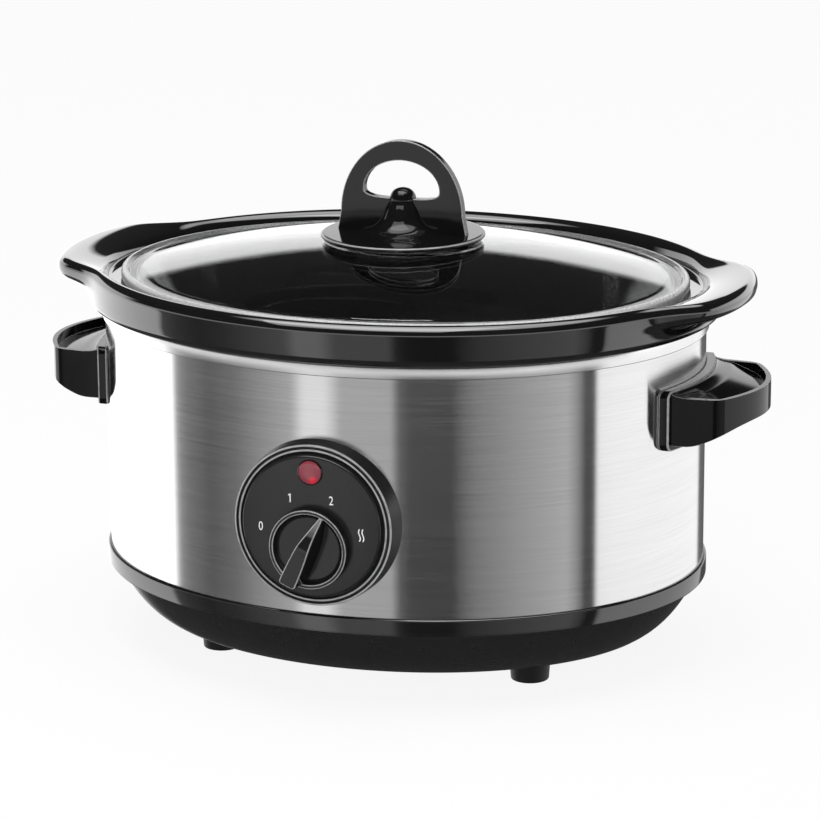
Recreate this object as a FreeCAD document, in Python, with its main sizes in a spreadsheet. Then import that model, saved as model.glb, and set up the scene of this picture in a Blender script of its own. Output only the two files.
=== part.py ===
import FreeCAD
import Part
import math
import os
import re
import Sketcher
from FreeCAD import Placement, Rotation, Vector

# Oval slow cooker: steel wrap on a black base, heated well, lift-out stoneware crock, glass lid.
# Millimetres, +Z up, table at z = 0, front towards -Y.

# Driving sizes. Heights ending in _z are above the table; half sizes are from the oval's axis.
SIZES = {
    "foot_x": 80.0,
    "foot_y": 48.0,
    "foot_height": 14.0,
    "foot_radius": 9.3,
    "foot_flare": 1.0,
    "foot_stem_radius": 4.0,
    "foot_barb": 1.2,
    "foot_barb_height": 2.0,
    "base_floor_half_x": 127.4,
    "base_floor_half_y": 100.4,
    "base_waist_half_x": 139.0,
    "base_waist_half_y": 112.6,
    "base_waist_z": 24.0,
    "base_band_z": 40.7,
    "base_band_proud": 1.5,
    "base_shoulder": 1.8,
    "base_wall": 2.6,
    "shell_half_x": 150.0,
    "shell_half_y": 124.0,
    "shell_z": 48.0,
    "shell_height": 120.0,
    "steel_gauge": 0.6,
    "bead_z": 163.7,
    "bead_top_z": 170.0,
    "bead_edge": 1.2,
    "well_gauge": 0.9,
    "well_top_half_x": 143.0,
    "well_top_half_y": 117.0,
    "well_floor_half_x": 126.5,
    "well_floor_half_y": 100.5,
    "well_floor_z": 63.0,
    "crock_gap": 2.0,
    "crock_wall": 7.0,
    "crock_floor": 8.0,
    "crock_foot_gap": 4.0,
    "crock_heel": 9.0,
    "crock_seat_gap": 0.3,
    "rim_half_x": 157.3,
    "rim_half_y": 131.5,
    "rim_top_z": 190.0,
    "rim_round": 4.5,
    "rim_under_round": 4.0,
    "rim_dish": 2.6,
    "ear_reach": 14.5,
    "ear_half_width": 52.0,
    "mouth_half_x": 150.6,
    "mouth_half_y": 121.0,
    "lid_half_x": 141.8,
    "lid_half_y": 114.6,
    "lid_seat_z": 181.7,
    "lid_seat_gap": 0.3,
    "lid_ledge": 8.0,
    "glass": 4.0,
    "lid_rise": 15.5,
    "lid_bearing": 6.0,
    "lid_hole_radius": 4.5,
    "gasket": 1.2,
    "gasket_radius": 27.0,
    "washer": 1.0,
    "washer_radius": 16.0,
    "lid_screw_radius": 2.0,
    "lid_screw_head_radius": 4.5,
    "lid_screw_head": 2.4,
    "lid_screw_bite": 14.0,
    "grip_disc_radius": 41.0,
    "grip_disc_z": 206.0,
    "grip_disc_edge": 2.4,
    "grip_skirt_radius": 29.0,
    "grip_top_z": 252.0,
    "grip_foot_half": 33.5,
    "grip_shoulder_half": 29.5,
    "grip_shoulder_z": 229.0,
    "grip_thickness": 7.0,
    "grip_hole_half": 22.0,
    "grip_hole_z": 223.0,
    "grip_hole_side_z": 227.5,
    "grip_hole_top_z": 241.5,
    "post_radius": 7.5,
    "post_top_z": 229.0,
    "post_flare_radius": 23.0,
    "crown_flat": 0.3,
    "fascia_z": 95.4,
    "fascia_front": 134.7,
    "fascia_radius": 38.6,
    "fascia_flare": 2.2,
    "fascia_rim": 3.0,
    "fascia_rim_proud": 1.0,
    "fascia_wall": 2.2,
    "fascia_boss_x": 29.0,
    "fascia_boss_radius": 3.6,
    "lens_z": 120.7,
    "lens_radius": 6.0,
    "lens_dome": 1.2,
    "lens_flange": 1.2,
    "lens_length": 6.0,
    "lamp_radius": 3.0,
    "lamp_length": 12.0,
    "lamp_bed": 3.0,
    "knob_z": 84.0,
    "knob_radius": 18.7,
    "knob_gap": 0.8,
    "knob_disc": 5.0,
    "knob_dish": 1.6,
    "knob_rim": 2.4,
    "knob_depth": 18.5,
    "knob_tail": 21.5,
    "knob_tail_half": 5.2,
    "knob_tip": 17.0,
    "knob_tip_half": 1.6,
    "knob_rest_angle": 24.0,
    "shaft_radius": 3.0,
    "shaft_bed": 10.0,
    "shaft_grip": 12.0,
    "running_gap": 0.05,
    "switch_half": 13.0,
    "switch_depth": 14.0,
    "switch_standoff": 0.8,
    "switch_screw_x": 10.0,
    "screw_radius": 1.5,
    "screw_head_radius": 2.8,
    "screw_head": 1.8,
    "screw_gap": 0.1,
    "screw_tilt": 0.9,
    "handle_reach": 184.0,
    "handle_corner_x": 170.0,
    "handle_half_width": 40.0,
    "handle_z": 117.0,
    "handle_height": 27.0,
    "handle_tip_rise": 12.5,
    "handle_root_x": 157.0,
    "handle_flange": 5.0,
    "handle_flange_margin": 2.5,
    "handle_wall": 3.2,
    "handle_recess": 5.0,
    "handle_web": 3.5,
    "handle_corner_round": 5.0,
    "handle_screw_y": 26.0,
    "handle_screw_bite": 2.6,
    "band_thick": 2.6,
    "band_low_z": 106.0,
    "band_high_z": 140.0,
    "strap_thick": 0.8,
    "strap_low_z": 117.0,
    "strap_high_z": 129.0,
    "strap_lug": 8.0,
    "strap_lug_half": 4.5,
    "strap_bolt_radius": 2.0,
    "strap_bolt_head": 3.4,
    "bracket_x": 62.0,
    "bracket_y": 36.0,
    "bracket_width": 18.0,
    "bracket_tab": 16.0,
    "bracket_gauge": 1.6,
    "cutout_y": 22.0,
    "cutout_radius": 8.0,
    "cutout_height": 9.0,
    "clip_gauge": 1.0,
    "clip_half_length": 19.0,
    "clip_width": 8.0,
    "terminal_x": 0.0,
    "terminal_y": 62.0,
    "terminal_length": 34.0,
    "terminal_width": 18.0,
    "terminal_height": 14.0,
    "terminal_hole_radius": 3.0,
    "gland_z": 66.0,
    "gland_radius": 7.0,
    "gland_flange_radius": 10.5,
    "gland_flange": 4.0,
    "gland_tail": 5.0,
    "gland_bore_radius": 3.6,
}

# Sizes worked out from the driving ones.
DERIVED = {
    "knob_front": "fascia_front + knob_gap + knob_depth",
    "axis_y": "(knob_front - rim_half_y) / 2",
    "shell_top_z": "shell_z + shell_height",
    "shell_in_y": "shell_half_y - steel_gauge",
    "base_floor_top_z": "foot_height + base_wall",
    "crock_under_z": "bead_top_z + crock_seat_gap",
    "crock_bottom_z": "well_floor_z + crock_foot_gap",
    "lid_under_z": "lid_seat_z + lid_seat_gap",
    "lid_edge_z": "lid_under_z + glass",
    "lid_crown_z": "lid_edge_z + lid_rise",
    "gasket_top_z": "lid_crown_z + gasket",
    "lid_crown_under_z": "lid_under_z + lid_rise",
    "handle_top_z": "handle_z + handle_height",
    "handle_mid_z": "handle_z + handle_height / 2",
    "handle_recess_z": "handle_top_z - handle_recess",
    "switch_front": "shell_in_y - switch_standoff",
    "fascia_back": "fascia_front - fascia_wall",
    "lamp_front": "fascia_back - lens_length + lamp_bed",
    "well_under_z": "well_floor_z - well_gauge",
}

doc = FreeCAD.newDocument("slow_cooker")
sheet = doc.addObject("Spreadsheet::Sheet", "sizes")
for row, (alias, number) in enumerate(SIZES.items(), start=1):
    sheet.set(f"A{row}", alias)
    sheet.set(f"B{row}", str(number))
    sheet.setAlias(f"B{row}", alias)
doc.recompute()

subparts = []


def formula(text):
    """Spell a size, or a sum of sizes, as an expression on the sheet's cells."""
    def spell(match):
        word = match.group()
        if word in DERIVED:
            return "(" + formula(DERIVED[word]) + ")"
        return "sizes." + word if word in SIZES else word
    return re.sub(r"[a-z]\w*", spell, text)


def value(text):
    """The number that a sum of sizes comes to."""
    return float(sheet.evalExpression(formula(text)))


def bind(thing, **sizes):
    for prop, text in sizes.items():
        thing.setExpression(prop.replace("__", "."), formula(text))


def finish(thing, label):
    """Name a sub-part and stand it on the oval's axis."""
    thing.Label = label
    bind(thing, Placement__Base__y="axis_y")
    subparts.append(thing)


def new_body(label):
    body = doc.addObject("PartDesign::Body", label)
    finish(body, label)
    return body


def new_sketch(body, plane, offset="0", up="0"):
    """A sketch on one of the body's own planes, moved along the plane's normal and up."""
    sketch = body.newObject("Sketcher::SketchObject", "sketch")
    support = next(f for f in body.Origin.OriginFeatures if f.Role == plane)
    sketch.AttachmentSupport = [(support, "")]
    sketch.MapMode = "FlatFace"
    bind(sketch, AttachmentOffset__Base__z=offset, AttachmentOffset__Base__y=up)
    return sketch


def fix(sketch, kind, *where, size):
    """Add a sized constraint and bind it to the sheet."""
    number = sketch.addConstraint(Sketcher.Constraint(kind, *where, value(size)))
    sketch.setExpression(f"Constraints[{number}]", formula(size))


def oval(sketch, half_x, half_y):
    ellipse = Part.Ellipse(Vector(value(half_x), 0, 0), Vector(0, value(half_y), 0), Vector())
    curve = sketch.addGeometry(ellipse)
    sketch.exposeInternalGeometry(curve)
    sketch.addConstraint(Sketcher.Constraint("Coincident", curve, 3, -1, 1))
    sketch.addConstraint(Sketcher.Constraint("Horizontal", curve + 1))
    fix(sketch, "Distance", curve + 1, size=f"2 * ({half_x})")
    fix(sketch, "Distance", curve + 2, size=f"2 * ({half_y})")


def pin(sketch, curve, point, x, y):
    """Hold a point of a curve at x, y from the sketch's origin."""
    for kind, text in (("DistanceX", x), ("DistanceY", y)):
        if value(text) >= 0:
            fix(sketch, kind, -1, 1, curve, point, size=text)
        else:
            fix(sketch, kind, curve, point, -1, 1, size=f"-({text})")


def circle(sketch, radius, x="0", y="0"):
    centre = Vector(value(x), value(y), 0)
    curve = sketch.addGeometry(Part.Circle(centre, Vector(0, 0, 1), value(radius)))
    pin(sketch, curve, 3, x, y)
    fix(sketch, "Radius", curve, size=radius)


def outline(sketch, *corners):
    """A closed outline. A corner is (x, y), or (x, y, bulge) for an arc that ends there;
    the bulge is the arc's rise over its chord, to the right of the way it runs."""
    points = [Vector(value(c[0]), value(c[1]), 0) for c in corners]
    curves = []
    for i, corner in enumerate(corners):
        start, end = points[i - 1], points[i]
        if len(corner) == 2:
            curves.append((sketch.addGeometry(Part.LineSegment(start, end)), 1, 2))
            continue
        chord = end - start
        out = Vector(chord.y, -chord.x, 0).normalize()
        rise = value(corner[2])
        top = (start + end) * 0.5 + out * rise
        centre = Part.Circle(start, top, end).Center
        first, last = (start, end) if rise > 0 else (end, start)
        angles = [math.atan2(p.y - centre.y, p.x - centre.x) for p in (first, last)]
        ring = Part.Circle(centre, Vector(0, 0, 1), centre.distanceToPoint(start))
        shape = sketch.addGeometry(Part.ArcOfCircle(ring, *angles))
        curves.append((shape, 1, 2) if rise > 0 else (shape, 2, 1))
        half = f"(({corner[2]})^2 + ({chord_square(corners[i - 1], corner)}) / 4)"
        fix(sketch, "Radius", shape, size=f"{half} / (2 * abs({corner[2]}))")
    for i, (curve, first, last) in enumerate(curves):
        pin(sketch, curve, last, corners[i][0], corners[i][1])
        after, after_first, _ = curves[(i + 1) % len(curves)]
        sketch.addConstraint(Sketcher.Constraint("Coincident", curve, last, after, after_first))


def chord_square(one, two):
    """The squared distance between two corners, spelt in sizes."""
    return f"(({two[0]}) - ({one[0]}))^2 + (({two[1]}) - ({one[1]}))^2"


def add(body, kind, sketch, **settings):
    """A feature on a sketch: text settings are sums of sizes, others are set as they are."""
    feature = body.newObject("PartDesign::" + kind, kind.lower())
    feature.Profile = sketch
    for prop, setting in settings.items():
        if isinstance(setting, str) and prop not in ("Type", "SideType"):
            bind(feature, **{prop: setting})
        else:
            setattr(feature, prop, setting)
    doc.recompute()
    if not feature.isValid() or feature.Shape.isNull():
        raise RuntimeError(f"{body.Label}: {kind} failed: {feature.getStatusString()}")
    base = feature.BaseFeature
    if kind in ("Pocket", "SubtractiveLoft"):
        less = feature.Shape.Volume < base.Shape.Volume
        if not (less or len(feature.Shape.Faces) > len(base.Shape.Faces)):
            raise RuntimeError(f"{body.Label}: {kind} cut nothing")
    return feature


def turn(body, kind, sketch):
    """Turn a half profile round the sketch's horizontal axis."""
    return add(body, kind, sketch, ReferenceAxis=(sketch, ["H_Axis"]), Angle="360")


def loft(body, kind, sections, ruled=True):
    """A solid through ovals, each (half_x, half_y, z)."""
    sketches = []
    for half_x, half_y, z in sections:
        sketch = new_sketch(body, "XY_Plane", z)
        oval(sketch, half_x, half_y)
        sketches.append(sketch)
    doc.recompute()
    return add(body, kind, sketches[0], Sections=sketches[1:], Ruled=ruled)


def round_edges(body, radius, wanted, kind="Fillet"):
    """Round the edges of the body's last feature that the test picks."""
    doc.recompute()
    base = body.Tip
    names = [f"Edge{i}" for i, edge in enumerate(base.Shape.Edges, start=1) if wanted(edge)]
    feature = body.newObject("PartDesign::" + kind, kind.lower())
    feature.Base = (base, names)
    bind(feature, **{"Radius" if kind == "Fillet" else "Size": radius})
    doc.recompute()


def level(z):
    """A test for edges that lie flat at a height."""
    height = value(z)
    return lambda edge: abs(edge.BoundBox.ZMin - height) < 0.01 and abs(edge.BoundBox.ZMax - height) < 0.01


def primitive(kind, at=("0", "0", "0"), turned=None, **sizes):
    """A Part primitive with bound sizes at a bound place."""
    thing = doc.addObject("Part::" + kind, kind.lower())
    if turned:
        thing.Placement = Placement(Vector(), turned)
    bind(thing, **sizes)
    for axis, text in zip("xyz", at):
        thing.setExpression("Placement.Base." + axis, formula(text))
    return thing


def fuse(*shapes):
    joined = doc.addObject("Part::MultiFuse", "fuse")
    joined.Shapes = list(shapes)
    return joined


def cut(base, tool):
    result = doc.addObject("Part::Cut", "cut")
    result.Base = base
    result.Tool = tool
    return result


def group(label, pieces):
    """Like pieces that share one node as separate solids."""
    compound = doc.addObject("Part::Compound", label)
    compound.Links = pieces
    finish(compound, label)


UP = Rotation()
DOWN = Rotation(Vector(1, 0, 0), 180)
BACK = Rotation(Vector(1, 0, 0), -90)
FRONT = Rotation(Vector(1, 0, 0), 90)
RIGHT = Rotation(Vector(0, 1, 0), 90)
LEFT = Rotation(Vector(0, 1, 0), -90)


def screw(seat, way, length, radius="screw_radius", head_radius="screw_head_radius", head="screw_head"):
    """A pan-head screw whose head bears at seat and whose shank runs the given way."""
    shank = primitive("Cylinder", seat, way, Radius=radius, Height=length)
    cap = primitive("Cylinder", seat, way.multiply(DOWN), Radius=head_radius, Height=head)
    return fuse(shank, cap)


CORNERS = [(sx, sy) for sx in ("", "-") for sy in ("", "-")]

# Base tray: a moulded oval dish that curves out to an upright band under the steel.
base_tray = new_body("base_tray")
tiers = [
    ("base_floor_half_x", "base_floor_half_y", "foot_height"),
    ("base_waist_half_x", "base_waist_half_y", "base_waist_z"),
    ("shell_half_x + base_band_proud - base_shoulder", "shell_half_y + base_band_proud - base_shoulder",
     "base_band_z"),
]
loft(base_tray, "AdditiveLoft", tiers, ruled=False)
band = new_sketch(base_tray, "XY_Plane", "base_band_z")
oval(band, "shell_half_x + base_band_proud", "shell_half_y + base_band_proud")
add(base_tray, "Pad", band, Length="shell_z - base_band_z")
inside = [(f"{x} - base_wall", f"{y} - base_wall", z) for x, y, z in tiers]
inside[0] = (inside[0][0], inside[0][1], "base_floor_top_z")
loft(base_tray, "SubtractiveLoft", inside, ruled=False)
band_inside = new_sketch(base_tray, "XY_Plane", "base_band_z")
oval(band_inside, inside[2][0], inside[2][1])
add(base_tray, "Pocket", band_inside, Length="shell_z - base_band_z", Reversed=True)
foot_holes = new_sketch(base_tray, "XY_Plane", "base_floor_top_z")
for sx, sy in CORNERS:
    circle(foot_holes, "foot_stem_radius + screw_gap", sx + "foot_x", sy + "foot_y")
    circle(foot_holes, "screw_radius + screw_gap", sx + "bracket_x", sy + "bracket_y")
add(base_tray, "Pocket", foot_holes, Length="2 * base_wall")

# Feet: four tapered rubber feet, each with a stem that snaps through the tray.
feet = []
for sx, sy in CORNERS:
    x, y = sx + "foot_x", sy + "foot_y"
    pad = primitive("Cone", (x, y, "0"), Radius1="foot_radius", Radius2="foot_radius + foot_flare",
                    Height="foot_height")
    stem = primitive("Cylinder", (x, y, "foot_height"), Radius="foot_stem_radius", Height="base_wall")
    barb = primitive("Cone", (x, y, "base_floor_top_z"), Radius1="foot_stem_radius + foot_barb",
                     Radius2="foot_stem_radius", Height="foot_barb_height")
    feet.append(fuse(pad, stem, barb))
group("feet", feet)

# Tie brackets: pressed steel posts from the tray's floor to the floor of the well.
brackets = []
for sx, sy in CORNERS:
    x, y = f"{sx}bracket_x - bracket_tab / 2", f"{sy}bracket_y - bracket_width / 2"
    leg_height = "well_under_z - base_floor_top_z"
    leg = primitive("Box", (x, y, "base_floor_top_z"), Length="bracket_gauge", Width="bracket_width",
                    Height=leg_height)
    low = primitive("Box", (x, y, "base_floor_top_z"), Length="bracket_tab", Width="bracket_width",
                    Height="bracket_gauge")
    high = primitive("Box", (x, y, "well_under_z - bracket_gauge"), Length="bracket_tab",
                     Width="bracket_width", Height="bracket_gauge")
    hole = primitive("Cylinder", (sx + "bracket_x", sy + "bracket_y", "base_floor_top_z"),
                     Radius="screw_radius + screw_gap", Height="bracket_gauge")
    brackets.append(cut(fuse(leg, low, high), hole))
group("tie_brackets", brackets)

# Base screws: through the tray into the brackets, heads between the feet.
base_screws = []
for sx, sy in CORNERS:
    seat = (sx + "bracket_x", sy + "bracket_y", "foot_height")
    base_screws.append(screw(seat, UP, "base_wall + 3 * bracket_gauge"))
group("base_screws", base_screws)

# Outer shell: brushed steel strip bent into an oval and seamed, standing on the tray's band.
outer_shell = new_body("outer_shell")
wrap = new_sketch(outer_shell, "XY_Plane", "shell_z")
oval(wrap, "shell_half_x", "shell_half_y")
oval(wrap, "shell_half_x - steel_gauge", "shell_half_y - steel_gauge")
add(outer_shell, "Pad", wrap, Length="shell_height")
front_holes = new_sketch(outer_shell, "XZ_Plane", "shell_half_y + steel_gauge")
circle(front_holes, "shaft_radius + 1", "0", "knob_z")
circle(front_holes, "lamp_radius + 1", "0", "lens_z")
for sx in ("", "-"):
    circle(front_holes, "screw_radius + screw_gap", sx + "switch_screw_x", "knob_z")
    circle(front_holes, "screw_radius + screw_gap", sx + "fascia_boss_x", "fascia_z")
add(outer_shell, "Pocket", front_holes, Length="shell_half_y / 4")
side_holes = new_sketch(outer_shell, "YZ_Plane")
for sy in ("", "-"):
    circle(side_holes, "screw_radius + screw_gap", sy + "handle_screw_y", "handle_mid_z")
add(outer_shell, "Pocket", side_holes, Type="ThroughAll", Midplane=True)
back_hole = new_sketch(outer_shell, "XZ_Plane")
circle(back_hole, "gland_radius + screw_gap", "0", "gland_z")
add(outer_shell, "Pocket", back_hole, Length="2 * shell_half_y")

# Heating well: a drawn pan whose flange rolls over the top edge of the shell as a bright bead.
heating_well = new_body("heating_well")
bead = new_sketch(heating_well, "XY_Plane", "bead_z")
bead_out = ("shell_half_x + well_gauge + screw_gap", "shell_half_y + well_gauge + screw_gap")
oval(bead, *bead_out)
add(heating_well, "Pad", bead, Length="bead_top_z - bead_z")
round_edges(heating_well, "bead_edge", level("bead_top_z"))
skirt = new_sketch(heating_well, "XY_Plane", "bead_z")
oval(skirt, "shell_half_x + screw_gap", "shell_half_y + screw_gap")
add(heating_well, "Pocket", skirt, Length="bead_top_z - bead_z - 2 * well_gauge", Reversed=True)
pan = [("well_floor_half_x", "well_floor_half_y", "well_floor_z"),
       ("well_top_half_x", "well_top_half_y", "bead_top_z")]
pan_outside = [(f"{x} + well_gauge", f"{y} + well_gauge", z) for x, y, z in pan]
loft(heating_well, "AdditiveLoft", pan_outside)
pan_floor = new_sketch(heating_well, "XY_Plane", "well_under_z")
oval(pan_floor, pan_outside[0][0], pan_outside[0][1])
add(heating_well, "Pad", pan_floor, Length="well_gauge")
loft(heating_well, "SubtractiveLoft", pan)


def pan_half(half, z, extra):
    """The pan's half size at a height, plus what is wrapped round it."""
    rise = f"({z} - well_floor_z) / (bead_top_z - well_floor_z)"
    grown = f"(well_top_half_{half} - well_floor_half_{half}) * {rise}"
    return f"well_floor_half_{half} + {grown} + well_gauge + {extra}"


def sleeve(body, low_z, high_z, inner, outer):
    """A tapered oval band round the pan."""
    for kind, extra in (("AdditiveLoft", outer), ("SubtractiveLoft", inner)):
        loft(body, kind, [(pan_half("x", z, extra), pan_half("y", z, extra), z) for z in (low_z, high_z)])


# Heater band: a mica-wound element laid round the pan.
heater_band = new_body("heater_band")
sleeve(heater_band, "band_low_z", "band_high_z", "screw_gap", "band_thick")

# Heater strap: a thin steel strap that clamps the element, with two lugs at the back.
heater_strap = new_body("heater_strap")
sleeve(heater_strap, "strap_low_z", "strap_high_z", "band_thick + screw_gap", "band_thick + strap_thick")
strap_mid_z = "(strap_low_z + strap_high_z) / 2"
strap_y = pan_half("y", "strap_high_z", "band_thick + strap_thick / 2")
lugs = new_sketch(heater_strap, "XY_Plane", "strap_low_z")
for sx in ("", "-"):
    near = f"{sx}strap_lug_half"
    far = f"{sx}(strap_lug_half + strap_thick)"
    corners = [(near, strap_y), (far, strap_y), (far, f"{strap_y} + strap_lug"),
               (near, f"{strap_y} + strap_lug")]
    outline(lugs, *(corners if sx == "" else corners[::-1]))
add(heater_strap, "Pad", lugs, Length="strap_high_z - strap_low_z")
bolt_hole = new_sketch(heater_strap, "YZ_Plane", "-2 * strap_lug_half")
bolt_y = f"{strap_y} + strap_lug / 2 + strap_thick"
circle(bolt_hole, "strap_bolt_radius + screw_gap", bolt_y, strap_mid_z)
add(heater_strap, "Pocket", bolt_hole, Length="4 * strap_lug_half", Reversed=True)

# Strap bolt: draws the two lugs together; head one side, nut the other.
bolt_seat = "strap_lug_half + strap_thick"
bolt = screw((bolt_seat, bolt_y, strap_mid_z), LEFT, "2 * strap_lug_half + 4 * strap_thick",
             "strap_bolt_radius", "strap_bolt_head", "screw_head")
nut = primitive("Prism", ("-strap_lug_half - strap_thick", bolt_y, strap_mid_z), LEFT,
                Circumradius="strap_bolt_head", Height="screw_head")
strap_bolt = fuse(bolt, nut)
finish(strap_bolt, "strap_bolt")

# Thermal cut-out: a round can pressed against the floor of the well.
cutout_top = primitive("Cylinder", ("0", "cutout_y", "well_under_z - cutout_height / 3"),
                       Radius="cutout_radius", Height="cutout_height / 3")
cutout_can = primitive("Cylinder", ("0", "cutout_y", "well_under_z - cutout_height"),
                       Radius="cutout_radius - clip_gauge", Height="2 * cutout_height / 3")
thermal_cutout = fuse(cutout_top, cutout_can)
finish(thermal_cutout, "thermal_cutout")

# Cut-out clip: a spring strip under the can, its two ends turned up to the well.
clip_z = "well_under_z - cutout_height - clip_gauge"
clip_y = "cutout_y - clip_width / 2"
clip_strip = primitive("Box", ("-clip_half_length", clip_y, clip_z), Length="2 * clip_half_length",
                       Width="clip_width", Height="clip_gauge")
clip_ends = []
for end_x in ("-clip_half_length", "clip_half_length - clip_gauge"):
    clip_ends.append(primitive("Box", (end_x, clip_y, clip_z), Length="clip_gauge", Width="clip_width",
                               Height="cutout_height + clip_gauge"))
cutout_clip = fuse(clip_strip, *clip_ends)
finish(cutout_clip, "cutout_clip")

# Control fascia: a round moulded plate with a raised rim, scribed to the curve of the shell.
control_fascia = new_body("control_fascia")
cup = new_sketch(control_fascia, "YZ_Plane", "0", "fascia_z")
rim_front = "-(fascia_front + fascia_rim_proud)"
reach_back = "-(shell_half_y - fascia_radius / 4)"
outline(cup, ("-fascia_front", "0"), ("-fascia_front", "fascia_radius - fascia_rim"),
        (rim_front, "fascia_radius - fascia_rim + fascia_rim_proud"),
        (rim_front, "fascia_radius - fascia_rim_proud"),
        ("-fascia_front", "fascia_radius", "-0.3 * fascia_rim_proud"),
        (reach_back, "fascia_radius + fascia_flare"),
        (reach_back, "fascia_radius + fascia_flare - fascia_wall"),
        ("-fascia_back", "fascia_radius - fascia_wall"), ("-fascia_back", "0"))
turn(control_fascia, "Revolution", cup)
bosses = new_sketch(control_fascia, "XZ_Plane", "fascia_back")
for sx in ("", "-"):
    circle(bosses, "fascia_boss_radius", sx + "fascia_boss_x", "fascia_z")
add(control_fascia, "Pad", bosses, Length="fascia_front - shell_half_y", Reversed=True)
scribe = new_sketch(control_fascia, "XY_Plane")
oval(scribe, "shell_half_x", "shell_half_y")
add(control_fascia, "Pocket", scribe, Type="ThroughAll", Reversed=True)
face_holes = new_sketch(control_fascia, "XZ_Plane", "fascia_front + fascia_rim_proud")
circle(face_holes, "shaft_radius + 1", "0", "knob_z")
circle(face_holes, "lens_radius + screw_gap", "0", "lens_z")
add(control_fascia, "Pocket", face_holes, Length="2 * fascia_wall")
boss_holes = new_sketch(control_fascia, "XZ_Plane", "fascia_back - fascia_wall")
for sx in ("", "-"):
    circle(boss_holes, "screw_radius + screw_gap / 2", sx + "fascia_boss_x", "fascia_z")
add(control_fascia, "Pocket", boss_holes, Length="fascia_front - shell_half_y")

# Fascia screws: from inside the shell into the plate's two bosses.
fascia_screws = []
for sx in ("", "-"):
    seat_y = "-shell_in_y * sqrt(1 - (fascia_boss_x / shell_half_x)^2) + screw_tilt"
    fascia_screws.append(screw((sx + "fascia_boss_x", seat_y, "fascia_z"), FRONT,
                               "fascia_back - fascia_wall + (" + seat_y + ") - 2 * screw_gap"))
group("fascia_screws", fascia_screws)

# Pilot lens: a red window with a domed front, flanged behind the plate and bored for the lamp.
pilot_lens = new_body("pilot_lens")
lens = new_sketch(pilot_lens, "YZ_Plane", "0", "lens_z")
lens_lip = "-(fascia_front + lens_dome)"
lens_end = "-(fascia_back - lens_length)"
outline(lens, (lens_lip, "0"), (lens_lip, "crown_flat * lens_radius"),
        ("-fascia_front", "lens_radius", "-0.2 * lens_dome"),
        ("-fascia_back", "lens_radius"), ("-fascia_back", "lens_radius + lens_flange"),
        ("-(fascia_back - lens_flange)", "lens_radius + lens_flange"),
        ("-(fascia_back - lens_flange)", "lamp_radius + lens_flange"),
        (lens_end, "lamp_radius + lens_flange"), (lens_end, "lamp_radius + screw_gap"),
        ("-(lamp_front + screw_gap)", "lamp_radius + screw_gap"), ("-(lamp_front + screw_gap)", "0"))
turn(pilot_lens, "Revolution", lens)

# Neon lamp: a small round-nosed glass bulb pushed into the back of the lens.
neon_lamp = new_body("neon_lamp")
bulb = new_sketch(neon_lamp, "YZ_Plane", "0", "lens_z")
outline(bulb, ("-lamp_front", "0"), ("-lamp_front", "crown_flat * lamp_radius"),
        ("-(lamp_front - lamp_radius)", "lamp_radius", "-0.2 * lamp_radius"),
        ("-(lamp_front - lamp_length)", "lamp_radius"), ("-(lamp_front - lamp_length)", "0"))
turn(neon_lamp, "Revolution", bulb)

# Rotary switch: a moulded block behind the shell with a sleeve for its shaft.
rotary_switch = new_body("rotary_switch")
block = new_sketch(rotary_switch, "XZ_Plane", "switch_front")
low_z, high_z = "knob_z - switch_half", "knob_z + switch_half"
outline(block, ("-switch_half", low_z), ("switch_half", low_z), ("switch_half", high_z),
        ("-switch_half", high_z))
add(rotary_switch, "Pad", block, Length="switch_depth", Reversed=True)
switch_bores = new_sketch(rotary_switch, "XZ_Plane", "switch_front")
circle(switch_bores, "shaft_radius + running_gap", "0", "knob_z")
for sx in ("", "-"):
    circle(switch_bores, "screw_radius + screw_gap / 2", sx + "switch_screw_x", "knob_z")
add(rotary_switch, "Pocket", switch_bores, Length="shaft_bed + screw_gap")
tags = new_sketch(rotary_switch, "XY_Plane", "knob_z - switch_half")
tag_y = "-(switch_front - switch_depth / 2)"
for tag_x in ("-switch_half / 2", "0", "switch_half / 2"):
    left, right = f"{tag_x} - clip_gauge", f"{tag_x} + clip_gauge"
    outline(tags, (left, tag_y), (right, tag_y), (right, f"{tag_y} + clip_gauge"),
            (left, f"{tag_y} + clip_gauge"))
add(rotary_switch, "Pad", tags, Length="clip_width", Reversed=True)

# Switch screws: from the front through the shell, hidden under the plate.
switch_screws = []
for sx in ("", "-"):
    seat = (sx + "switch_screw_x", "-(shell_half_y + screw_gap)", "knob_z")
    switch_screws.append(screw(seat, BACK, "shell_half_y - switch_front + shaft_bed"))
group("switch_screws", switch_screws)

# Switch shaft: a steel spindle from the switch, through shell and plate, into the knob.
shaft_end = "switch_front - shaft_bed"
shaft_front = "fascia_front + knob_gap + shaft_grip"
switch_shaft = primitive("Cylinder", ("0", f"axis_y - ({shaft_end})", "knob_z"), FRONT,
                         Radius="shaft_radius", Height=f"{shaft_front} - ({shaft_end})")
finish(switch_shaft, "switch_shaft")
bind(switch_shaft, Placement__Base__y=f"axis_y - ({shaft_end})")

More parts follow.
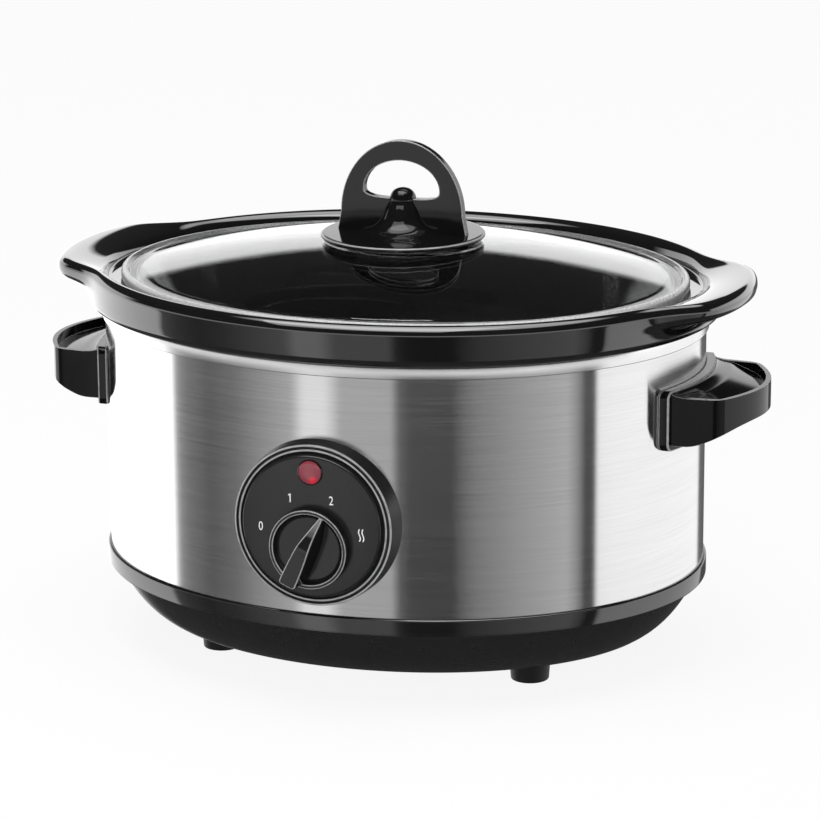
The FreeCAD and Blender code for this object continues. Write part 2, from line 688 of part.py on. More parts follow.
# Control knob: a dished round base with a tapered pointer bar that overhangs at its wide end.
control_knob = new_body("control_knob")
knob_back = "-(fascia_front + knob_gap)"
dish = new_sketch(control_knob, "YZ_Plane")
rim_in = "knob_radius - knob_rim"
outline(dish, (knob_back, "0"), (f"{knob_back} - knob_disc + knob_dish", "0"),
        (f"{knob_back} - knob_disc + knob_dish", f"{rim_in} - knob_dish"),
        (f"{knob_back} - knob_disc", rim_in), (f"{knob_back} - knob_disc", "knob_radius - knob_dish"),
        (f"{knob_back} - knob_disc + knob_dish", "knob_radius", "-0.2929 * knob_dish"),
        (knob_back, "knob_radius"))
turn(control_knob, "Revolution", dish)
bar = new_sketch(control_knob, "XZ_Plane", "fascia_front + knob_gap + knob_disc - knob_dish")
outline(bar, ("knob_tail_half", "-knob_tail + knob_tail_half / 2", "knob_tail_half / 2"),
        ("knob_tail_half * 0.8", "0"), ("knob_tip_half", "knob_tip - knob_tip_half"),
        ("-knob_tip_half", "knob_tip - knob_tip_half", "0.7 * knob_tip_half"),
        ("-knob_tail_half * 0.8", "0"), ("-knob_tail_half", "-knob_tail + knob_tail_half / 2"))
add(control_knob, "Pad", bar, Length="knob_depth - knob_disc + knob_dish")
socket = new_sketch(control_knob, "XZ_Plane", "fascia_front + knob_gap")
circle(socket, "shaft_radius + screw_gap / 10")
add(control_knob, "Pocket", socket, Length="shaft_grip + screw_gap", Reversed=True)
control_knob.Placement = Placement(Vector(), Rotation(Vector(0, 1, 0), value("knob_rest_angle")))
bind(control_knob, Placement__Base__y="axis_y", Placement__Base__z="knob_z")


def side_handle(label, turned):
    """A moulded grip: a flange scribed to the shell, a lug that thins outwards, hollow above and below."""
    body = new_body(label)
    root = "shell_half_x * 0.85"
    bow = "handle_reach - handle_corner_x"
    plan = new_sketch(body, "XY_Plane", "handle_z")
    outline(plan, (root, "-handle_half_width"), ("handle_corner_x", "-handle_half_width"),
            ("handle_corner_x", "handle_half_width", bow), (root, "handle_half_width"))
    add(body, "Pad", plan, Length="handle_height")
    under = new_sketch(body, "XZ_Plane")
    tip_z = "handle_z + handle_tip_rise"
    mid_x = "(handle_root_x + handle_corner_x) / 2"
    outline(under, ("handle_root_x", "handle_z", "-handle_tip_rise / 20"),
            ("handle_root_x", "handle_z - handle_wall"),
            ("handle_reach + handle_wall", "handle_z - handle_wall"), ("handle_reach + handle_wall", tip_z),
            ("handle_corner_x", tip_z), (mid_x, "handle_z + handle_tip_rise / 2", "handle_tip_rise / 20"))
    add(body, "Pocket", under, Type="ThroughAll", Midplane=True)
    corner = value("handle_corner_x")
    upright = value("handle_wall")
    round_edges(body, "handle_corner_round",
                lambda edge: edge.BoundBox.ZLength > upright and abs(edge.BoundBox.XMin - corner) < 0.1)
    flange = new_sketch(body, "XY_Plane", "handle_z - handle_flange_margin / 2")
    wide = "handle_half_width + handle_flange_margin"
    oval(flange, "shell_half_x + handle_flange", "shell_half_y + handle_flange")
    add(body, "Pad", flange, Length="handle_height + handle_flange_margin")
    for sy in ("", "-"):
        trim = new_sketch(body, "XY_Plane", "handle_z - handle_flange_margin")
        outline(trim, *trim_box(sy, wide))
        add(body, "Pocket", trim, Type="ThroughAll", Reversed=True)
    back = new_sketch(body, "XY_Plane", "handle_z - handle_flange_margin")
    outline(back, ("-2 * shell_half_x", "-2 * shell_half_y"), (root, "-2 * shell_half_y"),
            (root, "2 * shell_half_y"), ("-2 * shell_half_x", "2 * shell_half_y"))
    add(body, "Pocket", back, Type="ThroughAll", Reversed=True)
    scribed = new_sketch(body, "XY_Plane", "handle_z - handle_flange_margin")
    oval(scribed, "shell_half_x", "shell_half_y")
    add(body, "Pocket", scribed, Type="ThroughAll", Reversed=True)
    well_x = "handle_root_x + handle_wall / 2"
    hollow_half = "handle_half_width - handle_wall"
    for z, length, flip, out_x in (
            ("handle_recess_z", "handle_recess", True, "handle_corner_x - handle_wall"),
            ("handle_recess_z - handle_web", "handle_height", False, "handle_corner_x - handle_wall")):
        hollow = new_sketch(body, "XY_Plane", z)
        outline(hollow, (well_x, f"-({hollow_half})"), (out_x, f"-({hollow_half})"),
                (out_x, hollow_half, bow), (well_x, hollow_half))
        add(body, "Pocket", hollow, Length=length, Reversed=flip)
    holes = new_sketch(body, "YZ_Plane")
    for sy in ("", "-"):
        circle(holes, "screw_radius + screw_gap / 2", sy + "handle_screw_y", "handle_mid_z")
    add(body, "Pocket", holes, Length="handle_root_x - handle_wall / 2", Reversed=True)
    body.Placement = Placement(Vector(), Rotation(Vector(0, 0, 1), turned))
    bind(body, Placement__Base__y="axis_y")


def trim_box(sy, wide):
    """The corners of the ground beyond one end of a handle's flange."""
    near, far = f"{sy}({wide})", f"{sy}(2 * shell_half_y)"
    corners = [("-2 * shell_half_x", near), ("2 * shell_half_x", near), ("2 * shell_half_x", far),
               ("-2 * shell_half_x", far)]
    return corners if sy == "" else corners[::-1]


# Side handles: the same moulding at both ends of the oval.
side_handle("right_handle", 0)
side_handle("left_handle", 180)

# Handle screws: two a side, from inside the shell into the flange.
handle_screws = []
for sx, way in (("", RIGHT), ("-", LEFT)):
    for sy in ("", "-"):
        seat_x = "(shell_half_x - steel_gauge) * sqrt(1 - (handle_screw_y / shell_half_y)^2) - screw_tilt"
        seat = (f"{sx}({seat_x})", sy + "handle_screw_y", "handle_mid_z")
        handle_screws.append(screw(seat, way, "handle_screw_bite + steel_gauge + screw_tilt"))
group("handle_screws", handle_screws)

# Cord gland: a flanged bush through the back of the shell; its bore takes a mains lead.
cord_gland = new_body("cord_gland")
bush = new_sketch(cord_gland, "YZ_Plane", "0", "gland_z")
gland_out = "shell_half_y + gland_flange"
gland_in = "shell_in_y - gland_tail"
seat_back = "shell_half_y + screw_gap"
outline(bush, (gland_in, "gland_bore_radius"), (gland_out, "gland_bore_radius"),
        (gland_out, "gland_flange_radius - gland_flange / 2"),
        ("shell_half_y + gland_flange / 2", "gland_flange_radius", "-gland_flange / 8"),
        (seat_back, "gland_flange_radius"), (seat_back, "gland_radius"), (gland_in, "gland_radius"))
turn(cord_gland, "Revolution", bush)

# Terminal block: a moulded block on the tray's floor with three wire ways.
terminal = primitive("Box", ("terminal_x - terminal_length / 2", "terminal_y - terminal_width / 2",
                             "base_floor_top_z"),
                     Length="terminal_length", Width="terminal_width", Height="terminal_height")
ways = []
for step in ("-1", "0", "1"):
    way_x = f"terminal_x + {step} * terminal_length / 3.4"
    ways.append(primitive("Cylinder", (way_x, "terminal_y - terminal_width / 2",
                                       "base_floor_top_z + terminal_height / 2"), BACK,
                          Radius="terminal_hole_radius", Height="terminal_width"))
terminal_block = cut(terminal, fuse(*ways))
finish(terminal_block, "terminal_block")

# Crock: a tapered stoneware pot under a heavy rim that grows into an ear at each end.


def rim_outline():
    """The rim's plan: an oval, drawn out at both ends into broad ears with hollow flanks."""
    half_x, half_y = value("rim_half_x"), value("rim_half_y")
    reach, half_width = value("ear_reach"), value("ear_half_width")
    steps, crowding, squareness = 20, 1.2, 10
    quarter = [math.pi / 2 * (k / steps) ** crowding for k in range(steps + 1)]
    angles = quarter + [math.pi - a for a in quarter[-2::-1]]
    angles += [math.pi + a for a in angles[1:-1]]
    points = []
    for angle in angles:
        x, y = half_x * math.cos(angle), half_y * math.sin(angle)
        ear = reach / (1 + (abs(y) / half_width) ** squareness)
        points.append(Vector(x + math.copysign(ear, x) * min(1, abs(x) / reach), y, 0))
    curve = Part.BSplineCurve()
    curve.interpolate(Points=points, PeriodicFlag=True)
    return Part.Face(Part.Wire(curve.toShape()))


def ovals(*sections, ruled=True):
    """A solid loft through ovals that are each (half_x, half_y, z)."""
    rings = []
    for half_x, half_y, z in sections:
        rings.append(primitive("Ellipse", ("0", "0", z), MajorRadius=half_x, MinorRadius=half_y))
    solid = doc.addObject("Part::Loft", "loft")
    solid.Sections = rings
    solid.Solid = True
    solid.Ruled = ruled
    return solid


def pot_half(half, inset, z):
    """The pot's half size at a height: the pan's, less the gap and an inset."""
    return pan_half(half, z, f"-(well_gauge + crock_gap + {inset})").replace("+ -", "- ")


rim_face = doc.addObject("Part::Feature", "rim_face")
rim_face.Shape = rim_outline()
rim_face.Placement = Placement(Vector(0, 0, value("crock_under_z")), Rotation())
rim_slab = doc.addObject("Part::Extrusion", "rim_slab")
rim_slab.Base = rim_face
rim_slab.DirMode = "Normal"
rim_slab.Solid = True
bind(rim_slab, LengthFwd="rim_top_z - crock_under_z")
doc.recompute()
rim = doc.addObject("Part::Fillet", "rim")
rim.Base = rim_slab
rounds = []
for number, edge in enumerate(rim_slab.Shape.Edges, start=1):
    for z, radius in (("rim_top_z", "rim_round"), ("crock_under_z", "rim_under_round")):
        if level(z)(edge):
            rounds.append((number, value(radius), value(radius)))
rim.Edges = rounds
pot_outside = ovals((pot_half("x", "crock_heel", "crock_bottom_z"), pot_half("y", "crock_heel", "crock_bottom_z"),
                     "crock_bottom_z"),
                    (pot_half("x", "0", "crock_bottom_z + crock_heel"),
                     pot_half("y", "0", "crock_bottom_z + crock_heel"), "crock_bottom_z + crock_heel"),
                    (pot_half("x", "0", "crock_under_z + rim_round"), pot_half("y", "0", "crock_under_z + rim_round"),
                     "crock_under_z + rim_round"))
inner_floor_z = "crock_bottom_z + crock_floor"
pot_inside = ovals((pot_half("x", "crock_wall + crock_heel", inner_floor_z),
                    pot_half("y", "crock_wall + crock_heel", inner_floor_z), inner_floor_z),
                   (pot_half("x", "crock_wall", f"{inner_floor_z} + crock_heel"),
                    pot_half("y", "crock_wall", f"{inner_floor_z} + crock_heel"), f"{inner_floor_z} + crock_heel"),
                   ("lid_half_x - lid_ledge", "lid_half_y - lid_ledge", "lid_seat_z"))
seat_well = ovals(("mouth_half_x - rim_dish / 2", "mouth_half_y - rim_dish / 2", "lid_seat_z"),
                  ("mouth_half_x", "mouth_half_y", "rim_top_z - rim_dish"),
                  ("mouth_half_x + rim_dish", "mouth_half_y + rim_dish", "rim_top_z"))
crock = cut(fuse(rim, pot_outside), fuse(pot_inside, seat_well))
finish(crock, "crock")

# Lid glass: a thin toughened dome with a flat bearing edge and a hole at the crown.


def dome(edge_x, edge_y, edge_z):
    """Ovals of a shallow dome that rises from its edge to a flat crown under the handle."""
    sections = [(edge_x, edge_y, edge_z)]
    for part_of_rise in (0.3, 0.6, 0.85, 1.0):
        share = math.sqrt(1 - 0.92 * part_of_rise)
        sections.append((f"({edge_x}) * {share:.4f}", f"({edge_y}) * {share:.4f}",
                         f"{edge_z} + lid_rise * {part_of_rise}"))
    return sections


lid_edge = ovals(("lid_half_x", "lid_half_y", "lid_under_z"), ("lid_half_x", "lid_half_y", "lid_edge_z"))
lid_top = ovals(*dome("lid_half_x", "lid_half_y", "lid_edge_z"), ruled=False)
lid_under = ovals(*dome("lid_half_x - lid_bearing", "lid_half_y - lid_bearing", "lid_under_z"), ruled=False)
lid_hole = primitive("Cylinder", ("0", "0", "lid_under_z"), Radius="lid_hole_radius", Height="2 * lid_rise")
lid_glass = cut(fuse(lid_edge, lid_top), fuse(lid_under, lid_hole))
finish(lid_glass, "lid_glass")

# Lid gasket and washer: a soft ring above the glass and a steel one below it.
for label, low, thick, radius in (("lid_gasket", "lid_crown_z", "gasket", "gasket_radius"),
                                  ("lid_washer", "lid_crown_under_z - washer", "washer", "washer_radius")):
    disc = primitive("Cylinder", ("0", "0", low), Radius=radius, Height=thick)
    bore = primitive("Cylinder", ("0", "0", low), Radius="lid_screw_radius + screw_gap", Height=thick)
    ring = cut(disc, bore)
    finish(ring, label)

# Lid screw: from under the glass, through washer and gasket, into the handle's post.
lid_screw = screw(("0", "0", "lid_crown_under_z - washer"), UP,
                  "washer + glass + gasket + lid_screw_bite", "lid_screw_radius", "lid_screw_head_radius",
                  "lid_screw_head")
finish(lid_screw, "lid_screw")

# Lid handle: one moulding, a flared disc with a bell-shaped post and an upright arch across it.
lid_handle = new_body("lid_handle")
arch = new_sketch(lid_handle, "XZ_Plane")
arch_foot_z = "grip_disc_z - grip_disc_edge / 2"
outline(arch, ("-grip_foot_half", arch_foot_z), ("grip_foot_half", arch_foot_z),
        ("grip_shoulder_half", "grip_shoulder_z"),
        ("-grip_shoulder_half", "grip_shoulder_z", "grip_top_z - grip_shoulder_z"))
add(lid_handle, "Pad", arch, Length="grip_thickness", Midplane=True)
eye = new_sketch(lid_handle, "XZ_Plane", "grip_thickness")
corner_in = "grip_hole_side_z - grip_hole_z"
outline(eye, ("grip_hole_half", "grip_hole_side_z", f"0.2 * ({corner_in})"),
        ("-grip_hole_half", "grip_hole_side_z", "grip_hole_top_z - grip_hole_side_z"),
        (f"-grip_hole_half + {corner_in}", "grip_hole_z", f"0.2 * ({corner_in})"),
        (f"grip_hole_half - ({corner_in})", "grip_hole_z"))
add(lid_handle, "Pocket", eye, Length="2 * grip_thickness")
disc_under = "grip_disc_z - grip_disc_edge"
turned = new_sketch(lid_handle, "XZ_Plane")
outline(turned, ("0", "gasket_top_z"), ("grip_skirt_radius", "gasket_top_z"),
        ("grip_disc_radius", disc_under, "-grip_disc_edge / 2"),
        ("grip_disc_radius", "grip_disc_z", "grip_disc_edge / 3"),
        ("post_flare_radius", "grip_disc_z + grip_disc_edge"),
        ("post_radius", "post_top_z - post_radius", "-grip_disc_edge"),
        ("crown_flat * post_radius", "post_top_z", "0.2 * post_radius"), ("0", "post_top_z"))
add(lid_handle, "Revolution", turned, ReferenceAxis=(turned, ["V_Axis"]), Angle="360")
pilot = new_sketch(lid_handle, "XY_Plane", "gasket_top_z")
circle(pilot, "lid_screw_radius + screw_gap / 2")
add(lid_handle, "Pocket", pilot, Length="lid_screw_bite + screw_gap", Reversed=True)

doc.recompute()
for thing in doc.Objects:
    if "Invalid" in thing.State or "Error" in thing.State:
        raise RuntimeError(f"{thing.Label}: {thing.State}")
os.makedirs("parts", exist_ok=True)
for thing in subparts:
    shape = thing.Shape
    if shape.isNull() or not shape.isValid() or not shape.Solids:
        raise RuntimeError(f"{thing.Label}: no sound solid")
for thing in subparts:
    thing.Shape.exportStep(f"parts/{thing.Label}.step")
    print(thing.Label, len(thing.Shape.Solids), round(thing.Shape.Volume))
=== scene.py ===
import math

import bpy
from mathutils import Euler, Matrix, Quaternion


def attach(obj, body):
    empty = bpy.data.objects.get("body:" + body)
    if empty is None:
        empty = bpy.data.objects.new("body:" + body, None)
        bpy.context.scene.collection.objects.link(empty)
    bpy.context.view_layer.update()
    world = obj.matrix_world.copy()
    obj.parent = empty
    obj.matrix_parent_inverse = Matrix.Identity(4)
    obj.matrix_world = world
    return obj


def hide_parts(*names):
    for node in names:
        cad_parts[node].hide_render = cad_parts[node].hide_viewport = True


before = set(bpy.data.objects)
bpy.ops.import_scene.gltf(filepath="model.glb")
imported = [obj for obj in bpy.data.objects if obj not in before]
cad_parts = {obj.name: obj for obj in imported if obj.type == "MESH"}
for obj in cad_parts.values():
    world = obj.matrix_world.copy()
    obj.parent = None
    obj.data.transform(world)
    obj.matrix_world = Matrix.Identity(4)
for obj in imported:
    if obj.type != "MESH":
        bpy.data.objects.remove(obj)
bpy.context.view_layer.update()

# Base tray. A black plastic dish, injection moulded in one piece, that carries the whole cooker:
# its upright band is polished and its curved lower tier is left satin. Screws from below tie it
# to the well.

MM = 0.001
AXIS_Y = 0.01125
BAND = (151.5, 125.5)
BAND_LOW, BAND_TOP, BAND_EDGE, BAND_UNDER = 39.3, 48.0, 0.8, -1.2
TRAY_BOTTOM, TRAY_INSIDE = 14.0, 16.6
FLOOR_MIDDLE, FLOOR_EDGE = -70.0, -27.0
TIER_FOOT, TIER_PULL, TIER_HEAD = (-24.6, TRAY_BOTTOM), (-13.2, 20.6), (-4.4, BAND_LOW - 0.3)
TRAY_WALL = [(-3.0, BAND_TOP), (-3.0, BAND_LOW + 2.4), (-7.4, BAND_LOW - 2.0), (-17.0, 25.0)]
SATIN_FROM, SATIN_TO = (BAND_LOW - 0.4) * MM, (BAND_LOW + 0.1) * MM
TRAY_POLISH, TRAY_SATIN = 0.06, 0.22


def arc(out, z, radius, start, stop, steps=6):
    """Points of a rounded corner in a profile, (outward, height), between two angles in degrees."""
    turns = [math.radians(start + (stop - start) * k / steps) for k in range(steps + 1)]
    return [(out + radius * math.cos(t), z + radius * math.sin(t)) for t in turns]


def bow(first, pull, last, steps=10):
    """Points of a curve in a profile that leaves first towards pull and arrives at last."""
    curve = []
    for k in range(steps + 1):
        t = k / steps
        curve.append(tuple((1 - t) ** 2 * a + 2 * t * (1 - t) * b + t * t * c
                           for a, b, c in zip(first, pull, last)))
    return curve


def rings(oval, profile):
    """Ovals that follow a profile of (outward, height) from a given oval."""
    return [(oval[0] + out, oval[1] + out, z) for out, z in profile]


def skin(name, ovals, around=256):
    """Draw the first oval and extrude it through the rest, each (half x, half y, height) in mm."""
    bpy.ops.object.select_all(action="DESELECT")
    bpy.ops.mesh.primitive_circle_add(vertices=around, radius=1)
    piece = bpy.context.object
    piece.name = name
    bpy.ops.object.mode_set(mode="EDIT")
    bpy.ops.mesh.select_all(action="SELECT")
    wide, deep, high = 1.0, 1.0, 0.0
    for number, oval in enumerate(ovals):
        x, y, z = (size * MM for size in oval)
        if number:
            bpy.ops.mesh.extrude_edges_move()
        bpy.ops.transform.resize(value=(x / wide, y / deep, 1), center_override=(0, 0, 0))
        bpy.ops.transform.translate(value=(0, 0, z - high))
        wide, deep, high = x, y, z
    return piece


def close(piece):
    """Merge a skin's seams, fill its open ends and turn its faces outwards."""
    bpy.ops.object.mode_set(mode="EDIT")
    bpy.ops.mesh.select_all(action="SELECT")
    bpy.ops.mesh.remove_doubles(threshold=1e-6)
    bpy.ops.mesh.fill_holes(sides=0)
    bpy.ops.mesh.select_all(action="SELECT")
    bpy.ops.mesh.normals_make_consistent(inside=False)
    bpy.ops.object.mode_set(mode="OBJECT")


def place(piece, x=0.0, y=AXIS_Y, z=0.0, turns=((0, 0, 0),), sharp=35):
    """Turn and move a piece, leave its place in its mesh, and smooth its curved faces."""
    for turn in turns:
        piece.rotation_euler = [math.radians(angle) for angle in turn]
        bpy.ops.object.transform_apply(location=False, rotation=True, scale=False)
    piece.location = (x, y, z)
    bpy.ops.object.transform_apply(location=True, rotation=False, scale=False)
    bpy.ops.object.shade_smooth_by_angle(angle=math.radians(sharp))


class Socket:
    """One output of a material's nodes, so that sums of shader values read as sums."""

    def __init__(self, tree, output):
        self.tree = tree
        self.output = output

    def node(self, kind, settings, sockets, output=0):
        """Add a node: its settings first, then the values or links of its sockets."""
        made = self.tree.nodes.new("ShaderNode" + kind)
        for name, setting in settings.items():
            if name == "stops":
                stops = made.color_ramp.elements
                stops.remove(stops[1])
                stops[0].position, stops[0].color = setting[0]
                for spot, colour in setting[1:]:
                    stops.new(spot).color = colour
            else:
                setattr(made, name, setting)
        for name, value in sockets.items():
            if isinstance(value, Socket):
                self.tree.links.new(value.output, made.inputs[name])
            else:
                made.inputs[name].default_value = value
        return Socket(self.tree, made.outputs[output])

    def sum(self, operation, one, two):
        """A Math node on two values."""
        return self.node("Math", {"operation": operation}, {0: one, 1: two})

    def __add__(self, other):
        return self.sum("ADD", self, other)

    __radd__ = __add__

    def __sub__(self, other):
        return self.sum("SUBTRACT", self, other)

    def __rsub__(self, other):
        return self.sum("SUBTRACT", other, self)

    def __mul__(self, other):
        return self.sum("MULTIPLY", self, other)

    __rmul__ = __mul__

    def mix(self, colour, other):
        """This value as the share of the second colour in a mix of two."""
        return self.node("Mix", {"data_type": "RGBA"}, {0: self, 6: colour, 7: other}, 2)


def grey(level, tint=(1.0, 1.0, 1.0)):
    """A colour of one level, with a slight tint where it is given."""
    return tuple(level * part for part in tint) + (1.0,)


def new_finish(name, **constants):
    """A material and its Object coordinates, with the shader's fixed sockets set."""
    material = bpy.data.materials.new(name)
    material.use_nodes = True
    tree = material.node_tree
    shader = tree.nodes["Principled BSDF"]
    for socket, value in constants.items():
        shader.inputs[socket.replace("_", " ")].default_value = value
    return material, Socket(tree, tree.nodes.new("ShaderNodeTexCoord").outputs["Object"])


def feed(at, **links):
    """Link what varies over the surface into the material's shader."""
    shader = at.tree.nodes["Principled BSDF"]
    for socket, source in links.items():
        at.tree.links.new(source.output, shader.inputs[socket.replace("_", " ")])


def noise(at, scale, detail=3.0):
    """Cloudy noise, its scale in clouds to the metre."""
    return at.node("TexNoise", {}, {"Vector": at, "Scale": scale, "Detail": detail})


def bump(height, strength, depth=0.0001):
    """Relief for a shader's Normal; its depth is in metres."""
    return height.node("Bump", {}, {"Strength": strength, "Distance": depth, "Height": height})


def step(value, start, stop, first=0.0, last=1.0):
    """A share that goes from first to last as a value goes from start to stop."""
    return value.node("MapRange", {}, {0: value, 1: start, 2: stop, 3: first, 4: last})


MOTTLING, MOULD_GRAIN, RUBBING = 45.0, 2200.0, 160.0


def mould_skin(at, dark, pale, rough, uneven, peel):
    """Faint mottling, uneven gloss and the fine skin that a mould leaves on plastic."""
    rubbed = noise(at, RUBBING, 6.0)
    feed(at, Base_Color=noise(at, MOTTLING, 5.0).mix(grey(dark), grey(pale)),
         Roughness=rough + (rubbed - 0.5) * uneven,
         Normal=bump(noise(at, MOULD_GRAIN, 2.0), peel))


def dress(piece, body, slot, material, *nodes):
    """Give a piece its finish and its body, and hide the CAD nodes that it stands for; the slot is
    not used.
    """
    if not piece.data.materials:
        piece.data.materials.append(material)
    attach(piece, body)
    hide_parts(*nodes)


tray = skin("base_tray_moulding", rings(
    BAND, [(FLOOR_MIDDLE, TRAY_BOTTOM), (FLOOR_EDGE, TRAY_BOTTOM)]
    + bow(TIER_FOOT, TIER_PULL, TIER_HEAD) + [(BAND_UNDER, BAND_LOW)]
    + arc(-BAND_EDGE, BAND_LOW + BAND_EDGE, BAND_EDGE, -90, 0)
    + arc(-BAND_EDGE, BAND_TOP - BAND_EDGE, BAND_EDGE, 0, 90)
    + TRAY_WALL + [(FLOOR_EDGE, TRAY_INSIDE), (FLOOR_MIDDLE, TRAY_INSIDE)]))
close(tray)
place(tray)
tray_black, at = new_finish("tray_black", IOR=2.0)
satin = step(at.node("SeparateXYZ", {}, {0: at}, 2), SATIN_FROM, SATIN_TO, 1.0, 0.0)
mould_skin(at, dark=0.004, pale=0.009, rough=TRAY_POLISH + satin * TRAY_SATIN, uneven=0.05,
           peel=0.05)
dress(tray, "cooker_body", "base_black", tray_black, "base_tray")

# Feet. Four short rubber feet, moulded with a slight flare and a dished sole; each snaps into the
# tray's floor by its stem. One is shaped and the rest are copies.

FOOT_X, FOOT_Y = 80.0, 48.0
FOOT_R, FOOT_TOP, FOOT_FLARE, FOOT_EDGE = 9.3, 14.6, 1.0, 0.8
SOLE_R, SOLE_DISH, STEM_R = 6.5, 1.2, 4.0


def disc(radius, profile):
    """Circles that follow a profile of (outward, height) from a given radius."""
    return rings((radius, radius), profile)


def pick(piece, *others):
    """Select these pieces alone and make the first the active one."""
    bpy.ops.object.select_all(action="DESELECT")
    for each in (piece, *others):
        each.select_set(True)
    bpy.context.view_layer.objects.active = piece


def moulded(name, dark, pale, rough, uneven, peel, shine=0.5):
    """A black moulding of plastic or rubber, from gloss to satin."""
    material, at = new_finish(name, IOR=1.5, Specular_IOR_Level=shine)
    mould_skin(at, dark, pale, rough, uneven, peel)
    return material


foot = skin("rubber_feet", disc(0, [(STEM_R, SOLE_DISH), (SOLE_R, SOLE_DISH)])
            + disc(FOOT_R, [(-2 * FOOT_EDGE, 0.0)] + arc(-FOOT_EDGE, FOOT_EDGE, FOOT_EDGE, -90, 0)
                   + [(FOOT_FLARE, FOOT_TOP)])
            + disc(0, [(STEM_R, FOOT_TOP)]), around=64)
close(foot)
place(foot, x=FOOT_X * MM, y=AXIS_Y + FOOT_Y * MM)
feet = [foot]
for side_x, side_y in ((-1, 1), (-1, -1), (1, -1)):
    pick(foot)
    bpy.ops.object.duplicate()
    copy = bpy.context.object
    copy.location = ((side_x - 1) * FOOT_X * MM, (side_y - 1) * FOOT_Y * MM, 0)
    bpy.ops.object.transform_apply(location=True)
    feet.append(copy)
pick(*feet)
bpy.ops.object.join()
foot_rubber = moulded("foot_rubber_black", dark=0.008, pale=0.015, rough=0.5, uneven=0.15, peel=0.4)
dress(foot, "cooker_body", "foot_rubber", foot_rubber, "feet")

# Inner works. Pressed brackets, screws, the mica-wound element with its strap, the safety cut-out,
# the switch and the terminal block sit between tray and well; their CAD shapes stay as they are.

TARNISH, ROLL_GRAIN, TARNISH_DULLS = 90.0, 900.0, 0.82
FLECK_FROM, FLECK_TO = 0.42, 0.62


def metal(name, tone, tint, rough, grain):
    """Bare or plated metal with cloudy tarnish and a fine rolled grain."""
    material, at = new_finish(name, Metallic=1.0)
    tarnish = noise(at, TARNISH, 6.0)
    feed(at, Base_Color=tarnish.mix(grey(tone * TARNISH_DULLS, tint), grey(tone, tint)),
         Roughness=rough + (tarnish - 0.5) * 0.18,
         Normal=bump(noise(at, ROLL_GRAIN), grain))
    return material


def flecked(name, base, fleck, rough, scale):
    """A moulded or laminated filler: two colours in fine flecks over a matt skin."""
    material, at = new_finish(name, IOR=1.5)
    specks = noise(at, scale, 6.0)
    stops = [(FLECK_FROM, grey(0.0)), (FLECK_TO, grey(1.0))]
    share = at.node("ValToRGB", {"stops": stops}, {0: specks})
    feed(at, Base_Color=share.mix(base, fleck), Roughness=rough + (specks - 0.5) * 0.2,
         Normal=bump(specks, 0.3, 0.0002))
    return material


def refinish(material, *nodes):
    """Give a finish to CAD nodes that keep their shapes."""
    for name in nodes:
        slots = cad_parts[name].data.materials
        slots.clear()
        slots.append(material)


zinc = metal("zinc_plate", tone=0.62, tint=(0.98, 0.99, 1.0), rough=0.38, grain=0.2)
spring = metal("spring_strip", tone=0.52, tint=(1.0, 0.99, 0.96), rough=0.34, grain=0.15)
mica = flecked("mica_winding", (0.36, 0.27, 0.17, 1), (0.62, 0.52, 0.38, 1), rough=0.5, scale=240.0)
phenolic = flecked("phenolic_black", (0.02, 0.018, 0.016, 1), (0.05, 0.045, 0.04, 1),
                   rough=0.55, scale=700.0)
porcelain = flecked("porcelain_body", (0.62, 0.58, 0.5, 1), (0.74, 0.71, 0.64, 1),
                    rough=0.45, scale=300.0)
bulb = flecked("lamp_bulb", (0.75, 0.42, 0.3, 1), (0.85, 0.6, 0.5, 1), rough=0.15, scale=120.0)
refinish(zinc, "tie_brackets", "base_screws", "strap_bolt", "switch_screws", "switch_shaft",
         "fascia_screws", "handle_screws")
refinish(spring, "heater_strap", "cutout_clip")
refinish(mica, "heater_band")
refinish(porcelain, "thermal_cutout", "terminal_block")
refinish(phenolic, "rotary_switch")
refinish(bulb, "neon_lamp")

# Outer shell. A strip of stainless steel, brushed along its length, bent into an oval and seamed
# at the back. It stands on the tray's band and the well's bead holds its top edge.

SHELL = (150.0, 124.0)
SHELL_TOP, GAUGE = 168.0, 0.6
FINE_BRUSH, BROAD_BRUSH = (6.0, 6.0, 0.06), (9.0, 9.0, 0.5)


def stretched(at, scale):
    """Coordinates drawn out along the grain of a sheet."""
    return at.node("Mapping", {"vector_type": "TEXTURE"}, {"Vector": at, "Scale": scale})


shell = skin("steel_wrap", rings(SHELL, [(0, BAND_TOP), (0, SHELL_TOP), (-GAUGE, SHELL_TOP),
                                         (-GAUGE, BAND_TOP), (0, BAND_TOP)]), around=360)
close(shell)
place(shell)
steel, at = new_finish("brushed_steel_wrap", Metallic=1.0, Anisotropic=1.0, Anisotropic_Rotation=0.25)
scratch = noise(stretched(at, FINE_BRUSH), 130.0, 6.0)
broad = noise(stretched(at, BROAD_BRUSH), 90.0)
smudge = noise(at, 18.0, 4.0)
feed(at, Base_Color=(scratch * 0.7 + broad * 0.3).mix(grey(0.7), grey(0.98)),
     Roughness=0.09 + scratch * 0.07 + (smudge - 0.5) * 0.02, Normal=bump(scratch, 0.04))
dress(shell, "cooker_body", "brushed_steel", steel, "outer_shell")

# Heating well. A pan drawn from aluminised sheet; its flange is rolled over the top of the steel
# as a bright bead, and the crock stands inside it.

